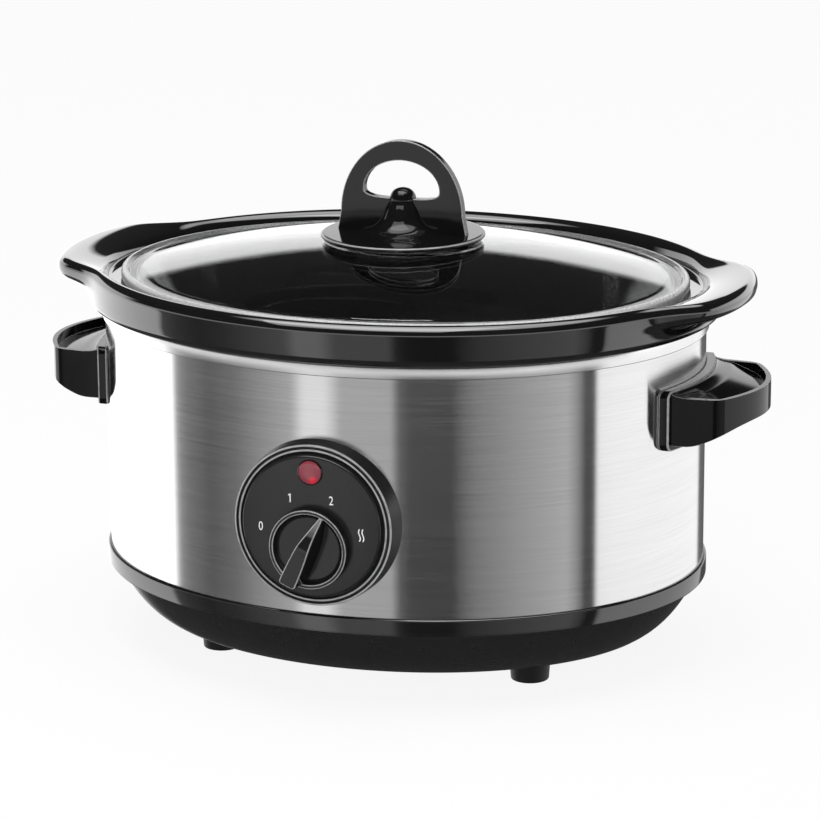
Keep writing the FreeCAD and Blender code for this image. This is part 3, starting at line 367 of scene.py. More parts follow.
BEAD = (151.0, 125.0)
BEAD_LOW, BEAD_TOP, BEAD_LEAN, SHEET = 163.7, 170.0, 6, 0.9
WELL_MIDDLE, WELL_EDGE, WELL_CORNER = -80.0, -30.0, 5.0
WELL_FLOOR, WELL_UNDER = 63.0, 62.1
WELL_MOUTH, MOUTH_ROUND = -9.5, 1.5
BEAD_SHOULDER, BEAD_ROUND, HEM, HEM_ROUND = -1.5, 1.4, -0.1, 0.4
FLANGE_UNDER = BEAD_TOP - 2 * SHEET
WELL_BACK = [(-7.2, FLANGE_UNDER), (-24.2, 66.0), (-29.0, WELL_UNDER)]
DRAWN = (5.0, 5.0, 0.3)
well = skin("well_pan", rings(
    BEAD, [(WELL_MIDDLE, WELL_FLOOR), (WELL_EDGE, WELL_FLOOR)]
    + arc(WELL_EDGE, WELL_FLOOR + WELL_CORNER, WELL_CORNER, -90, -8)
    + arc(WELL_MOUTH, BEAD_TOP - MOUTH_ROUND, MOUTH_ROUND, 0, 90)
    + arc(BEAD_SHOULDER, BEAD_TOP - BEAD_ROUND, BEAD_ROUND, 90, BEAD_LEAN)
    + arc(HEM, BEAD_LOW + HEM_ROUND, HEM_ROUND, BEAD_LEAN, -90)
    + [(-SHEET, BEAD_LOW), (-SHEET, FLANGE_UNDER)] + WELL_BACK
    + [(WELL_MIDDLE, WELL_UNDER)]), around=360)
close(well)
place(well)
pan_metal, at = new_finish("aluminised_sheet", Metallic=1.0)
drawn = noise(stretched(at, DRAWN), 120.0)
feed(at, Base_Color=noise(at, 60.0, 5.0).mix(grey(0.8), grey(0.92)),
     Roughness=0.16 + drawn * 0.12, Normal=bump(drawn, 0.05))
dress(well, "cooker_body", "well_metal", pan_metal, "heating_well")

# Control fascia. A round black moulding: a raised plate inside a double rim, its back edge scribed
# to the curve of the steel. Two screws from inside hold it, and its marks are pad printed.

FASCIA_Z, FASCIA_R, FACE, RIM_FRONT = 93.6, 39.0, 134.2, 131.2
FASCIA_MIDDLE, PLATE_EDGE, PLATE_ROUND = 2.0, -6.0, 1.2
FASCIA_SIDE, FASCIA_INSIDE, SCRIBE_GAP = RIM_FRONT - 8, RIM_FRONT - 2.2, 0.1
RING_IN, RING_IN_Z, RING_IN_R = -2.9, RIM_FRONT + 0.3, 0.7
RING_OUT, RING_OUT_Z, RING_OUT_R = -1.0, RIM_FRONT - 0.2, 1.0
RIM_CRESTS = ((-3.3, -2.5, RIM_FRONT + 0.8), (-1.1, -0.3, RIM_FRONT + 0.4))
FACE_FRONT = (90, 0, 0)
KNOB_Z = 84.0
LOW_RING, HIGH_RING, LOW_TURN, HIGH_TURN = 26.0, 25.1, 72.5, 24
PRINT, DIGIT_SIZE, DIGIT_WIDTH = 0.06, 6.0, 0.78
ONE_SHAPE = [(0.5, -2.1), (0.5, 2.1), (0.05, 2.1), (-0.85, 1.35), (-0.6, 1.0), (-0.05, 1.4),
             (-0.05, -2.1)]
WAVE_HEIGHT, WAVE_SWAY, WAVE_PEN, WAVE_STEPS, WAVE_APART = 6.0, 0.42, 0.27, 24, 0.85

dial_black = moulded("dial_black", dark=0.01, pale=0.018, rough=0.22, uneven=0.06, peel=0.08)
# Pale grey painted highlight on edge crests and rounded edges, standing in for the light they catch.
highlight_black, at = new_finish("painted_highlight_edge", IOR=1.5)
highlight_grain = noise(at, 260.0, 5.0)
feed(at, Base_Color=highlight_grain.mix(grey(0.16), grey(0.42)), Roughness=0.2 + highlight_grain * 0.2)


def highlight_edges(piece, finish, rubbed):
    """Two slots on a piece: its finish, and a painted highlight where the test of a face's middle
    holds.
    """
    piece.data.materials.append(finish)
    piece.data.materials.append(highlight_black)
    for face in piece.data.polygons:
        face.material_index = int(rubbed(*(part / MM for part in face.center)))


def rim_crest(x, y, z):
    """Whether a place on the fascia is on the crest of either ring of its rim."""
    out = math.hypot(x, y) - FASCIA_R
    return any(first < out < last and z > low for first, last, low in RIM_CRESTS)


fascia = skin("dial_plate", disc(0, [(FASCIA_MIDDLE, FACE)])
              + disc(FASCIA_R, [(-20, FACE), (PLATE_EDGE, FACE)]
                     + arc(PLATE_EDGE, FACE - PLATE_ROUND, PLATE_ROUND, 90, 5)
                     + [(-4.7, RIM_FRONT - 0.5), (-3.9, RIM_FRONT - 0.3)]
                     + arc(RING_IN, RING_IN_Z, RING_IN_R, 170, 20)
                     + [(-2.1, RIM_FRONT), (-1.8, RIM_FRONT)]
                     + arc(RING_OUT, RING_OUT_Z, RING_OUT_R, 110, 0)
                     + [(0.3, RIM_FRONT - 3), (0.8, FASCIA_SIDE), (-1.4, FASCIA_SIDE),
                        (-1.8, FASCIA_INSIDE)])
              + disc(0, [(FASCIA_MIDDLE, FASCIA_INSIDE)]), around=192)
close(fascia)
highlight_edges(fascia, dial_black, rim_crest)
back_edge = (FASCIA_SIDE + 0.1) * MM
for vertex in fascia.data.vertices:
    if vertex.co.z < back_edge:
        share = vertex.co.x / (SHELL[0] * MM)
        vertex.co.z = SHELL[1] * MM * math.sqrt(1 - share * share) + SCRIBE_GAP * MM
place(fascia, z=FASCIA_Z * MM, turns=(FACE_FRONT,))
dress(fascia, "cooker_body", "fascia_black", dial_black, "control_fascia")

print_white, at = new_finish("dial_print", IOR=1.5)
worn = noise(at, 900.0, 4.0)
feed(at, Base_Color=worn.mix(grey(0.72), grey(0.88)), Roughness=0.42 + (worn - 0.5) * 0.2)


def stick(piece, angle, radius):
    """Set a printed mark on the face, at its angle from straight up round the knob."""
    turn = math.radians(angle)
    place(piece, x=radius * MM * math.sin(turn), y=AXIS_Y - (FACE + PRINT) * MM,
          z=(KNOB_Z + radius * math.cos(turn)) * MM, turns=(FACE_FRONT,), sharp=30)
    piece.data.materials.clear()
    piece.data.materials.append(print_white)
    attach(piece, "cooker_body")


def draw(name, outline):
    """A closed outline: a circle whose points are moved onto the given (x, y) in millimetres."""
    bpy.ops.object.select_all(action="DESELECT")
    bpy.ops.mesh.primitive_circle_add(vertices=len(outline), radius=1)
    piece = bpy.context.object
    piece.name = name
    for vertex, (x, y) in zip(piece.data.vertices, outline):
        vertex.co = (x * MM, y * MM, 0)
    return piece


def thicken(piece, depth):
    """Fill a closed outline and raise it to a plate."""
    bpy.ops.object.mode_set(mode="EDIT")
    bpy.ops.mesh.select_all(action="SELECT")
    bpy.ops.mesh.edge_face_add()
    bpy.ops.mesh.extrude_region_move(TRANSFORM_OT_translate={"value": (0, 0, depth * MM)})
    bpy.ops.object.mode_set(mode="OBJECT")
    close(piece)


for digit, angle, radius in (("0", -LOW_TURN, LOW_RING), ("2", HIGH_TURN, HIGH_RING)):
    bpy.ops.object.select_all(action="DESELECT")
    bpy.ops.object.text_add()
    mark = bpy.context.object
    mark.name = "dial_mark_" + digit
    mark.data.body = digit
    mark.data.size = DIGIT_SIZE * MM
    mark.data.extrude = PRINT * MM
    mark.data.align_x = "CENTER"
    mark.data.align_y = "CENTER"
    bpy.ops.object.convert(target="MESH")
    bpy.context.object.scale = (DIGIT_WIDTH, 1, 1)
    bpy.ops.object.transform_apply(scale=True)
    stick(bpy.context.object, angle, radius)
one = draw("dial_mark_1", ONE_SHAPE)
thicken(one, 2 * PRINT)
stick(one, -HIGH_TURN, HIGH_RING)
for number, offset in enumerate((-WAVE_APART, WAVE_APART)):
    path = []
    for k in range(WAVE_STEPS + 1):
        t = k / WAVE_STEPS - 0.5
        path.append((offset - WAVE_SWAY * math.sin(2 * math.pi * t), WAVE_HEIGHT * t))
    wave = draw(f"dial_mark_warm_{number}", [(x + WAVE_PEN, y) for x, y in path]
                + [(x - WAVE_PEN, y) for x, y in path[::-1]])
    thicken(wave, 2 * PRINT)
    stick(wave, LOW_TURN, LOW_RING)

# Pilot lens. A small domed window moulded in red acrylic, clipped into the plate from behind,
# with the neon lamp pushed into its back.

LENS_Z, LENS_R, LENS_MIDDLE = 120.0, 6.5, -5.8
LENS_FRONT, LENS_BACK = FACE + 1.2, FACE - 2.4
GLOW_SPOT, GLOW_FROM, GLOW_TO = (0.0016, 0.0, 0.1165), 0.0006, 0.0024
EDGE_SHADE_FROM, EDGE_SHADE_TO = (LENS_R - 1.15) * MM, (LENS_R - 0.85) * MM
lens = skin("red_lens", disc(LENS_R, [(LENS_MIDDLE, LENS_FRONT)]
            + bow((-5, LENS_FRONT), (-1.4, FACE + 1.15), (-0.35, FACE + 0.35))
            + [(-0.3, LENS_BACK), (LENS_MIDDLE, LENS_BACK)]), around=96)
close(lens)
place(lens, z=LENS_Z * MM, turns=(FACE_FRONT,))
lens_red, at = new_finish("acrylic_red", IOR=1.49, Coat_Weight=0.5, Coat_Roughness=0.05,
                          Emission_Strength=0.25)
flat = at.node("VectorMath", {"operation": "MULTIPLY"}, {0: at, 1: (1.0, 0.0, 1.0)})


def from_spot(spot):
    """How far a place on the lens is from a spot, seen from the front."""
    return flat.node("VectorMath", {"operation": "DISTANCE"}, {0: flat, 1: spot}, 1)


lit = step(from_spot(GLOW_SPOT), GLOW_FROM, GLOW_TO, 1.0, 0.0)
# A near-black ring round the lens's rim: painted shade where the lens meets the plate.
outline = step(from_spot((0.0, 0.0, LENS_Z * MM)), EDGE_SHADE_FROM, EDGE_SHADE_TO)
cloudy = noise(at, 420.0)
body_red = (lit * 0.9 + (cloudy - 0.5) * 0.3).mix((0.21, 0.035, 0.05, 1), (0.55, 0.012, 0.03, 1))
feed(at, Base_Color=outline.mix(body_red, (0.012, 0.002, 0.003, 1)),
     Roughness=0.2 + (cloudy - 0.5) * 0.1,
     Emission_Color=lit.mix((0.0, 0.0, 0.0, 1), (0.5, 0.01, 0.03, 1)))
dress(lens, "cooker_body", "lens_red", lens_red, "pilot_lens")

# Control knob. A dished black disc with a tapered pointer bar across it, one moulding pressed on
# the switch's spindle; it turns with the spindle.

KNOB_R, KNOB_BACK, KNOB_DISC, KNOB_DISH, KNOB_EDGE = 19.2, FACE + 0.8, 4.6, 2.8, 0.9
SPINDLE_R, HUB_R = 3.05, 5.0
KNOB_REST = 24.0
DISH_CRESTS, CREST_DEPTH = ((-0.75, -0.2), (-2.2, -1.8)), 0.45
rim_front = KNOB_BACK + KNOB_DISC
dish_floor = rim_front - KNOB_DISH
BAR_TOP, BAR_ROOT = rim_front + 11.0, dish_floor - 0.6
TAIL, FLAT_END, TIP, TAIL_LEAN = -17.4, 4.0, 17.2, 1.1
NOSE_TOP, NOSE_CURVE = rim_front + 0.4, 1.35
BAR_HALVES = ((TAIL, 3.6, 2.7), (TAIL + 0.5, 4.6, 3.6), (TAIL + 1.6, 5.2, 4.1), (-12, 5.3, 4.1),
              (-6, 5.3, 3.9), (0, 5.1, 3.5), (FLAT_END, 4.8, 3.1), (7, 4.4, 2.6), (10, 3.7, 2.0),
              (13, 2.9, 1.5), (15.5, 2.1, 1.1), (TIP, 1.4, 0.8))


def loft(name, sections):
    """A bar through cross-sections of (x, y, z) in mm: one outline, extruded for each of the rest."""
    count = len(sections[0])
    bpy.ops.object.select_all(action="DESELECT")
    bpy.ops.mesh.primitive_circle_add(vertices=count, radius=1, fill_type="NGON")
    piece = bpy.context.object
    piece.name = name
    bpy.ops.object.mode_set(mode="EDIT")
    bpy.ops.mesh.select_all(action="SELECT")
    for _ in sections[1:]:
        bpy.ops.mesh.extrude_region_move(TRANSFORM_OT_translate={"value": (0, 0, 1)})
    bpy.ops.object.mode_set(mode="OBJECT")
    first = piece.data.vertices[0].co
    start = math.atan2(first.y, first.x)
    for vertex in piece.data.vertices:
        turn = math.atan2(vertex.co.y, vertex.co.x) - start
        spot = round(turn / (2 * math.pi) * count) % count
        vertex.co = [MM * part for part in sections[round(vertex.co.z)][spot]]
    close(piece)
    return piece


def soften(piece, width, angle, finish):
    """Round a piece's sharp edges; the rounding gets the painted highlight."""
    piece.data.materials.append(finish)
    piece.data.materials.append(highlight_black)
    bpy.context.view_layer.objects.active = piece
    bpy.ops.object.modifier_add(type="BEVEL")
    bevel = piece.modifiers[-1]
    bevel.width = width * MM
    bevel.segments = 3
    bevel.limit_method = "ANGLE"
    bevel.angle_limit = math.radians(angle)
    bevel.material = 1
    bpy.ops.object.modifier_apply(modifier=bevel.name)


def even(piece):
    """Let the broad faces set the shading, so that flats stay flat beside their rounded edges."""
    bpy.context.view_layer.objects.active = piece
    bpy.ops.object.modifier_add(type="WEIGHTED_NORMAL")
    weighted = piece.modifiers[-1]
    weighted.keep_sharp = True
    bpy.ops.object.modifier_apply(modifier=weighted.name)


def dish_crest(x, y, z):
    """Whether a place on the knob is on its outer edge or the edge of its dish."""
    out = math.hypot(x, y) - KNOB_R
    return z > rim_front - CREST_DEPTH and any(low < out < high for low, high in DISH_CRESTS)


knob = skin("knob_moulding", disc(0, [(SPINDLE_R, KNOB_BACK + 1.0), (HUB_R, KNOB_BACK)])
            + disc(KNOB_R, [(-1.0, KNOB_BACK), (0, KNOB_BACK + 0.6)]
                   + arc(-KNOB_EDGE, rim_front - KNOB_EDGE, KNOB_EDGE, 0, 90)
                   + arc(-1.7, rim_front - 0.5, 0.5, 90, 160, 3)
                   + bow((-2.6, rim_front - 1.5), (-3.4, dish_floor), (-4.6, dish_floor)))
            + disc(0, [(0.5, dish_floor)]), around=128)
close(knob)
knob_black = moulded("knob_gloss_black", dark=0.006, pale=0.011, rough=0.1, uneven=0.04, peel=0.04)
highlight_edges(knob, knob_black, dish_crest)
bar_sections = []
for along, root_half, top_half in BAR_HALVES:
    nose = max(0.0, (along - FLAT_END) / (TIP - FLAT_END))
    top = BAR_TOP - (BAR_TOP - NOSE_TOP) * nose ** NOSE_CURVE
    top_along = along + TAIL_LEAN * max(0.0, along / TAIL) ** 2
    bar_sections.append([(-root_half, along, BAR_ROOT), (root_half, along, BAR_ROOT),
                         (top_half, top_along, top), (-top_half, top_along, top)])
bar = loft("knob_bar", bar_sections)
soften(bar, width=0.45, angle=35, finish=knob_black)
pick(knob, bar)
bpy.ops.object.join()
place(knob, z=KNOB_Z * MM, turns=((0, 0, -KNOB_REST), FACE_FRONT))
even(knob)
dress(knob, "control_knob", "knob_black", knob_black, "control_knob")

# Side handles. Hollow black mouldings, one at each end of the oval: a flange scribed to the steel
# and a grip that thins outwards, open above as a shallow tray. Two screws a side from inside.

GRIP_HALF, GRIP_LOW, GRIP_TIP_LOW, GRIP_TOP = 40.0, 120.0, 130.0, 143.6
GRIP_ROOT, GRIP_CORNER, GRIP_BOW, GRIP_ROUND = 157.0, 170.0, 14.0, 4.0
GRIP_TAPER, SWEEP_START, SWEEP_END = 0.0025, 153.0, 184.0
WALL, GRIP_FLOOR, GRIP_FALL, GRIP_CEILING = 2.6, 141.0, 2.0, 136.5
SKIRT, COVE_OUT, GRIP_BED = GRIP_ROOT + 1.6, 9.0, 1.0
FLANGE, FLANGE_HALF, FLANGE_LOW, FLANGE_TOP = 5.0, 42.5, 117.2, 146.5
FLANGE_CORNER, FLANGE_ENDS = 4.0, 14.0
COVE_TOP = FLANGE_TOP - 1.0


def steel_x(y):
    """How far out the steel's face is at a place across its end."""
    return SHELL[0] * math.sqrt(1 - (y / SHELL[1]) ** 2)


def underside(x):
    """Height of the grip's underside, which sweeps up from its root to its tip."""
    share = max(0.0, min(1.0, (x - SWEEP_START) / (SWEEP_END - SWEEP_START)))
    return GRIP_LOW + (GRIP_TIP_LOW - GRIP_LOW) * share * share * (3 - 2 * share)


def grip_section(y, hollow):
    """The grip's outline at a place across it, solid in the end walls and hollow between them."""
    reach = GRIP_CORNER + GRIP_BOW * (1 - (y / GRIP_HALF) ** 2)
    corner = max(0.0, abs(y) - GRIP_HALF + GRIP_ROUND) / GRIP_ROUND
    reach -= GRIP_ROUND * (1 - math.sqrt(1 - corner * corner))
    inside, root = reach - WALL, steel_x(y) + GRIP_BED
    face = steel_x(y) + FLANGE
    low = [(x, underside(x)) for x in (root + (reach - root) * k / 12 for k in range(13))]
    floor_in = floor_out = GRIP_TOP
    if hollow:
        floor_in, floor_out = GRIP_FLOOR + GRIP_FALL, GRIP_FLOOR - GRIP_FALL
        low[:5] = [(x, underside(x)) for x in (root + (SKIRT - root) * k / 5 for k in range(5))]
        low[5:12] = [(SKIRT, underside(SKIRT)), (SKIRT, GRIP_CEILING - 2.0),
                     (SKIRT + 1.0, GRIP_CEILING), (inside - 4.0, GRIP_CEILING),
                     (inside - 1.0, GRIP_CEILING), (inside, GRIP_CEILING - 2.0),
                     (inside, underside(inside))]
    rise = COVE_TOP - floor_in
    cove = [(face + COVE_OUT * (1 - math.sin(t)), floor_in + rise * (1 - math.cos(t)))
            for t in (math.pi / 2 * k / 6 for k in range(7))]
    lip = [(reach, GRIP_TOP), (inside, GRIP_TOP), (inside - 0.4, floor_out)]
    section = low + lip + cove + [(root, COVE_TOP)]
    return [(x, y * (1 - GRIP_TAPER * max(0.0, x - GRIP_ROOT)), z) for x, z in section]


handle_black = moulded("handle_gloss_black", dark=0.002, pale=0.004, rough=0.08, uneven=0.03,
                       peel=0.03, shine=0.35)
end_wall = [GRIP_HALF, GRIP_HALF - 1.1, GRIP_HALF - WALL]
hollow_spread = [(GRIP_HALF - WALL - 0.3) * (1 - k / 12) for k in range(25)]
grip = loft("right_side_handle", [grip_section(y, False) for y in end_wall]
            + [grip_section(y, True) for y in hollow_spread]
            + [grip_section(-y, False) for y in end_wall[::-1]])
soften(grip, width=0.6, angle=42, finish=handle_black)

bpy.ops.object.select_all(action="DESELECT")
bpy.ops.mesh.primitive_grid_add(x_subdivisions=28, y_subdivisions=2, size=1)
flange = bpy.context.object
flange.name = "right_flange"
bpy.ops.object.mode_set(mode="EDIT")
bpy.ops.mesh.select_all(action="SELECT")
bpy.ops.transform.resize(value=(2 * FLANGE_HALF * MM, (FLANGE_TOP - FLANGE_LOW) * MM, 1))
bpy.ops.mesh.select_all(action="DESELECT")
bpy.ops.object.mode_set(mode="OBJECT")
corner_reach = (FLANGE_HALF - 0.1) * MM
for vertex in flange.data.vertices:
    vertex.select = abs(vertex.co.x) > corner_reach and abs(vertex.co.y) > FLANGE_ENDS * MM
bpy.ops.object.mode_set(mode="EDIT")
bpy.ops.mesh.bevel(offset=FLANGE_CORNER * MM, segments=6, affect="VERTICES", clamp_overlap=False)
bpy.ops.mesh.select_all(action="SELECT")
bpy.ops.mesh.extrude_region_move(TRANSFORM_OT_translate={"value": (0, 0, FLANGE * MM)})
bpy.ops.object.mode_set(mode="OBJECT")
flange_middle = (FLANGE_LOW + FLANGE_TOP) / 2 * MM
for vertex in flange.data.vertices:
    across, up, out = vertex.co
    vertex.co = (steel_x(across / MM) * MM + out + SCRIBE_GAP * MM, across, up + flange_middle)
close(flange)
soften(flange, width=0.7, angle=42, finish=handle_black)
pick(grip, flange)
bpy.ops.object.join()
place(grip)
even(grip)
dress(grip, "cooker_body", "handle_black", handle_black, "right_handle")
pick(grip)
bpy.ops.object.duplicate()
left_grip = bpy.context.object
left_grip.name = "left_side_handle"
left_grip.parent = None
left_grip.rotation_euler = (0, 0, math.pi)
left_grip.location = (0, 2 * AXIS_Y, 0)
bpy.ops.object.transform_apply(location=True, rotation=True)
dress(left_grip, "cooker_body", "handle_black", handle_black, "left_handle")

# Cord gland. A flanged bush moulded in satin black plastic and bored for a mains lead. It is
# pressed into a hole low in the back of the steel, where its flange stops it.

GLAND_Z, GLAND_BORE = 66.0, 3.6
GLAND_TAIL, GLAND_SEAT, GLAND_TUBE, GLAND_FLANGE = 118.4, 124.1, 3.4, 6.9
GLAND_FRONT, FLANGE_ROUND, BORE_ROUND = 128.0, 1.5, 0.8
gland = skin("lead_bush", disc(GLAND_BORE, [(0, GLAND_TAIL), (GLAND_TUBE, GLAND_TAIL),
                                            (GLAND_TUBE, GLAND_SEAT), (GLAND_FLANGE, GLAND_SEAT)]
             + arc(GLAND_FLANGE - FLANGE_ROUND, GLAND_FRONT - FLANGE_ROUND, FLANGE_ROUND, 0, 90)
             + arc(BORE_ROUND, GLAND_FRONT - BORE_ROUND, BORE_ROUND, 90, 180)
             + [(0, GLAND_TAIL)]), around=96)
close(gland)
place(gland, z=GLAND_Z * MM, turns=((-90, 0, 0),))
gland_black = moulded("gland_satin_black", dark=0.01, pale=0.018, rough=0.38, uneven=0.12, peel=0.3)
dress(gland, "cooker_body", "gland_black", gland_black, "cord_gland")

# Crock. Cast stoneware with a fired black glaze: a tapered pot under a heavy rim that is drawn
# out into a broad ear at each end. A ledge inside the rim takes the lid. It lifts out of the well.

RIM, MOUTH, LEDGE = (157.5, 131.5), (150.6, 121.0), (133.8, 106.6)
RIM_TOP, RIM_LOW, RIM_ROUND, SEAT = 190.0, 170.3, 4.5, 181.7
POT_FLOOR, POT_FOOT, POT_UNDER = 75, 67, 68.5
POT_MIDDLE, POT_INSIDE, POT_OUTSIDE = (60, 40), (104, 78), (126.5, 100.5)
RIM_UNDER, FOOT_RING, FOOT_HOLLOW = ((144, 118), (141, 115)), (112, 86), (110, 84)
SEAT_EDGE, SEAT_CORNER, RIM_HEM = 1.2, 2.0, 4.0
CROWN = ((0.0, 0.0, 186.6), (0.3, 0.5, 187.6), (0.8, 2.0, 188.6), (1.4, 4.0, 189.5))
EAR_REACH, EAR_HALF, EAR_POWER, EAR_LIFT, EAR_START = 17.2, 51.0, 14, 0.8, 0.022
EAR_UNDER = ((176.5, 0.0), (178.0, 0.14), (179.5, 0.36), (181.0, 0.66), (182.2, 0.88),
             (183.4, 0.97), (184.6, 1.0))
pot_in = [(*POT_MIDDLE, POT_FLOOR)]
pot_in += rings(POT_INSIDE, [(0, POT_FLOOR)] + bow((0, POT_FLOOR), (13, POT_FLOOR), (16.7, 86)))
pot_in += rings(LEDGE, [(-SEAT_EDGE, SEAT - 2 * SEAT_EDGE)])
seat = rings(LEDGE, arc(SEAT_EDGE, SEAT - SEAT_EDGE, SEAT_EDGE, 180, 90, 4))
seat += rings(MOUTH, arc(-3.4, SEAT + SEAT_CORNER, SEAT_CORNER, -90, -8, 5))
crown = [(MOUTH[0] + out_x, MOUTH[1] + out_y, z) for out_x, out_y, z in CROWN]
lip = rings(RIM, arc(-RIM_ROUND, RIM_TOP - RIM_ROUND, RIM_ROUND, 90, 0, 10)
            + [(0, z) for z, _ in EAR_UNDER[:0:-1]]
            + arc(-RIM_HEM, RIM_LOW + RIM_HEM, RIM_HEM, 0, -90, 8))
pot_out = [(*oval, RIM_LOW) for oval in RIM_UNDER]
pot_out += rings(POT_OUTSIDE, [(0, 78)] + bow((0, 77), (-1.5, POT_FOOT + 0.6), (-9, POT_FOOT)))
pot_out += [(*FOOT_RING, POT_FOOT), (*FOOT_HOLLOW, POT_UNDER), (*POT_MIDDLE, POT_UNDER)]
crock = skin("stoneware_crock", pot_in + seat + crown + lip + pot_out, around=360)
bpy.ops.object.mode_set(mode="OBJECT")
for vertex in crock.data.vertices:
    x, y, z = (part / MM for part in vertex.co)
    beyond = math.hypot(x / MOUTH[0], y / MOUTH[1]) - 1.0
    if z < RIM_LOW - 0.05 or beyond < 0.0:
        continue
    ear = EAR_REACH / (1 + (abs(y) / EAR_HALF) ** EAR_POWER) * min(1, abs(x) / EAR_REACH)
    ear *= min(1.0, beyond / EAR_START)
    if z > EAR_UNDER[-1][0]:
        vertex.co.z += EAR_LIFT * ear / EAR_REACH * MM
    drawn_out = 0.0
    for (low_z, low_share), (high_z, high_share) in zip(EAR_UNDER, EAR_UNDER[1:]):
        if z > low_z:
            rise = min(1.0, (z - low_z) / (high_z - low_z))
            drawn_out = low_share + (high_share - low_share) * rise
    vertex.co.x += math.copysign(ear * drawn_out, x) * MM
close(crock)
place(crock, sharp=50)
glaze, at = new_finish("black_glaze", IOR=1.75, Coat_Weight=1.0, Coat_Roughness=0.02)
feed(at, Base_Color=noise(at, 24.0, 4.0).mix(grey(0.003), grey(0.007)),
     Roughness=0.03 + noise(at, 700.0, 4.0) * 0.04, Normal=bump(noise(at, 70.0, 2.0), 0.02, 0.001))
dress(crock, "crock", "crock_glaze", glaze, "crock")

# Lid glass. A pressed and toughened clear dome whose rounded bearing edge is ground; a screw
# through its crown holds the handle, with a soft ring above the glass and a steel washer below.

LID = (141.8, 114.6)
LID_LOW, LID_THICK, LID_RISE, LID_SWELL = 182.0, 4.0, 15.5, 0.92
LID_HOLE = 4.5
DOME_OUTSIDE, DOME_INSIDE = 4.6, 5.0
EDGE_SHARE, EDGE_BEAD, EDGE_HIGH, EDGE_FOOT = 0.982, 2.2, 3.2, 1.2


def dome(inset, edge_z, steps=22):
    """Ovals of the dome, from its crown out to its edge."""
    ovals = []
    for k in range(steps + 1):
        rise = 1 - (k / steps) ** 2
        share = math.sqrt(1 - LID_SWELL * rise)
        ovals.append(((LID[0] - inset) * share, (LID[1] - inset) * share, edge_z + LID_RISE * rise))
    return ovals


crown_z = LID_LOW + LID_THICK + LID_RISE
hole_top = disc(LID_HOLE, [(0, crown_z)])
hole_under = disc(LID_HOLE, [(0, crown_z - LID_THICK)])
edge = rings(LID, arc(-EDGE_BEAD, LID_LOW + EDGE_HIGH, EDGE_BEAD, 150, 0, 9)
             + arc(-EDGE_FOOT, LID_LOW + EDGE_FOOT, EDGE_FOOT, 0, -90))
lid = skin("glass_dome", hole_top + dome(DOME_OUTSIDE, LID_LOW + LID_THICK) + edge
           + dome(DOME_INSIDE, LID_LOW)[::-1] + hole_under + hole_top)
close(lid)
place(lid, sharp=60)
clear, at = new_finish("toughened_glass", IOR=1.47, Transmission_Weight=1.0)
film = noise(at, 200.0, 4.0)
feed(at, Base_Color=film.mix((0.96, 0.98, 0.97, 1), (0.985, 0.995, 0.99, 1)),
     Roughness=film * 0.012, Normal=bump(noise(at, 30.0, 2.0), 0.02, 0.001))
dress(lid, "lid", "lid_clear", clear, "lid_glass")
# The pale ground edge is partly the frosting left by grinding and partly a painted highlight along
# the lid's edge.
ground, at = new_finish("ground_glass_edge_highlight", IOR=1.47, Transmission_Weight=0.35)
stone = noise(at, 1500.0)
feed(at, Base_Color=stone.mix(grey(0.72), grey(0.9)), Roughness=0.22 + stone * 0.12)
lid.data.materials.append(ground)
for face in lid.data.polygons:
    x, y, _ = face.center
    out = math.hypot(x / (LID[0] * MM), (y - AXIS_Y) / (LID[1] * MM))
    face.material_index = int(out > EDGE_SHARE)
silicone = flecked("silicone_ring", grey(0.8), grey(0.9), rough=0.35, scale=500.0)
refinish(silicone, "lid_gasket")
refinish(zinc, "lid_washer", "lid_screw")

# Lid handle. One black moulding: a flared disc, a bell-shaped post over the screw, and an upright
# arch across the disc with a half-moon finger hole.

GASKET_TOP = 202.7
DISC_R, DISC_TOP, DISC_EDGE = 40.3, 206.2, 1.2
BELL_R, NECK_R, NECK_Z = 21.0, 9.6, DISC_TOP + 9.0
POST_R, POST_TOP = 6.6, 228.0
POST_ROUND = POST_TOP - 7.0
ARCH_FOOT, ARCH_SHOULDER, ARCH_MID, ARCH_TOP = 33.2, 31.4, 215.0, 251.4
ARCH_THICK, ARCH_ROOT, ARCH_POINTS = 4.8, DISC_TOP - 1.0, 72
EYE_HALF, EYE_LOW, EYE_SIDE, EYE_TOP = 19.3, 222.8, 227.0, 241.5
LEG_DROP, LEG_SWEEP, EYE_SQUARE, EYE_SAG = 1.6, 1.28, 0.55, 0.7


def disc_edge(x, y, z):
    """Whether a place on the handle is on the upper edge of its disc."""
    return math.hypot(x, y) > DISC_R - 0.8 and z > DISC_TOP - 0.9


grip_black = moulded("grip_gloss_black", dark=0.004, pale=0.008, rough=0.07, uneven=0.03, peel=0.03)
bell = [(DISC_R - 1.8, DISC_TOP), (BELL_R + 2.0, DISC_TOP)]
bell += bow((BELL_R, DISC_TOP + 0.1), (12.0, DISC_TOP + 1.6), (NECK_R, NECK_Z))
bell += bow((NECK_R, NECK_Z), (8.6, DISC_TOP + 12.0), (POST_R, POST_ROUND), 5)[1:]
bell += bow((POST_R, POST_ROUND), (POST_R, POST_TOP - 0.4), (0.4, POST_TOP))[1:]
flare = [(3, GASKET_TOP), (28.5, GASKET_TOP)]
flare += bow((29, GASKET_TOP + 0.3), (36, DISC_TOP - 3.6), (DISC_R - DISC_EDGE, DISC_TOP - 2.6), 6)
flare += arc(DISC_R - DISC_EDGE, DISC_TOP - 1.4, DISC_EDGE, -80, 90, 8)
lid_handle = skin("lid_handle_moulding", disc(0, flare + bell), around=128)
close(lid_handle)
highlight_edges(lid_handle, grip_black, disc_edge)

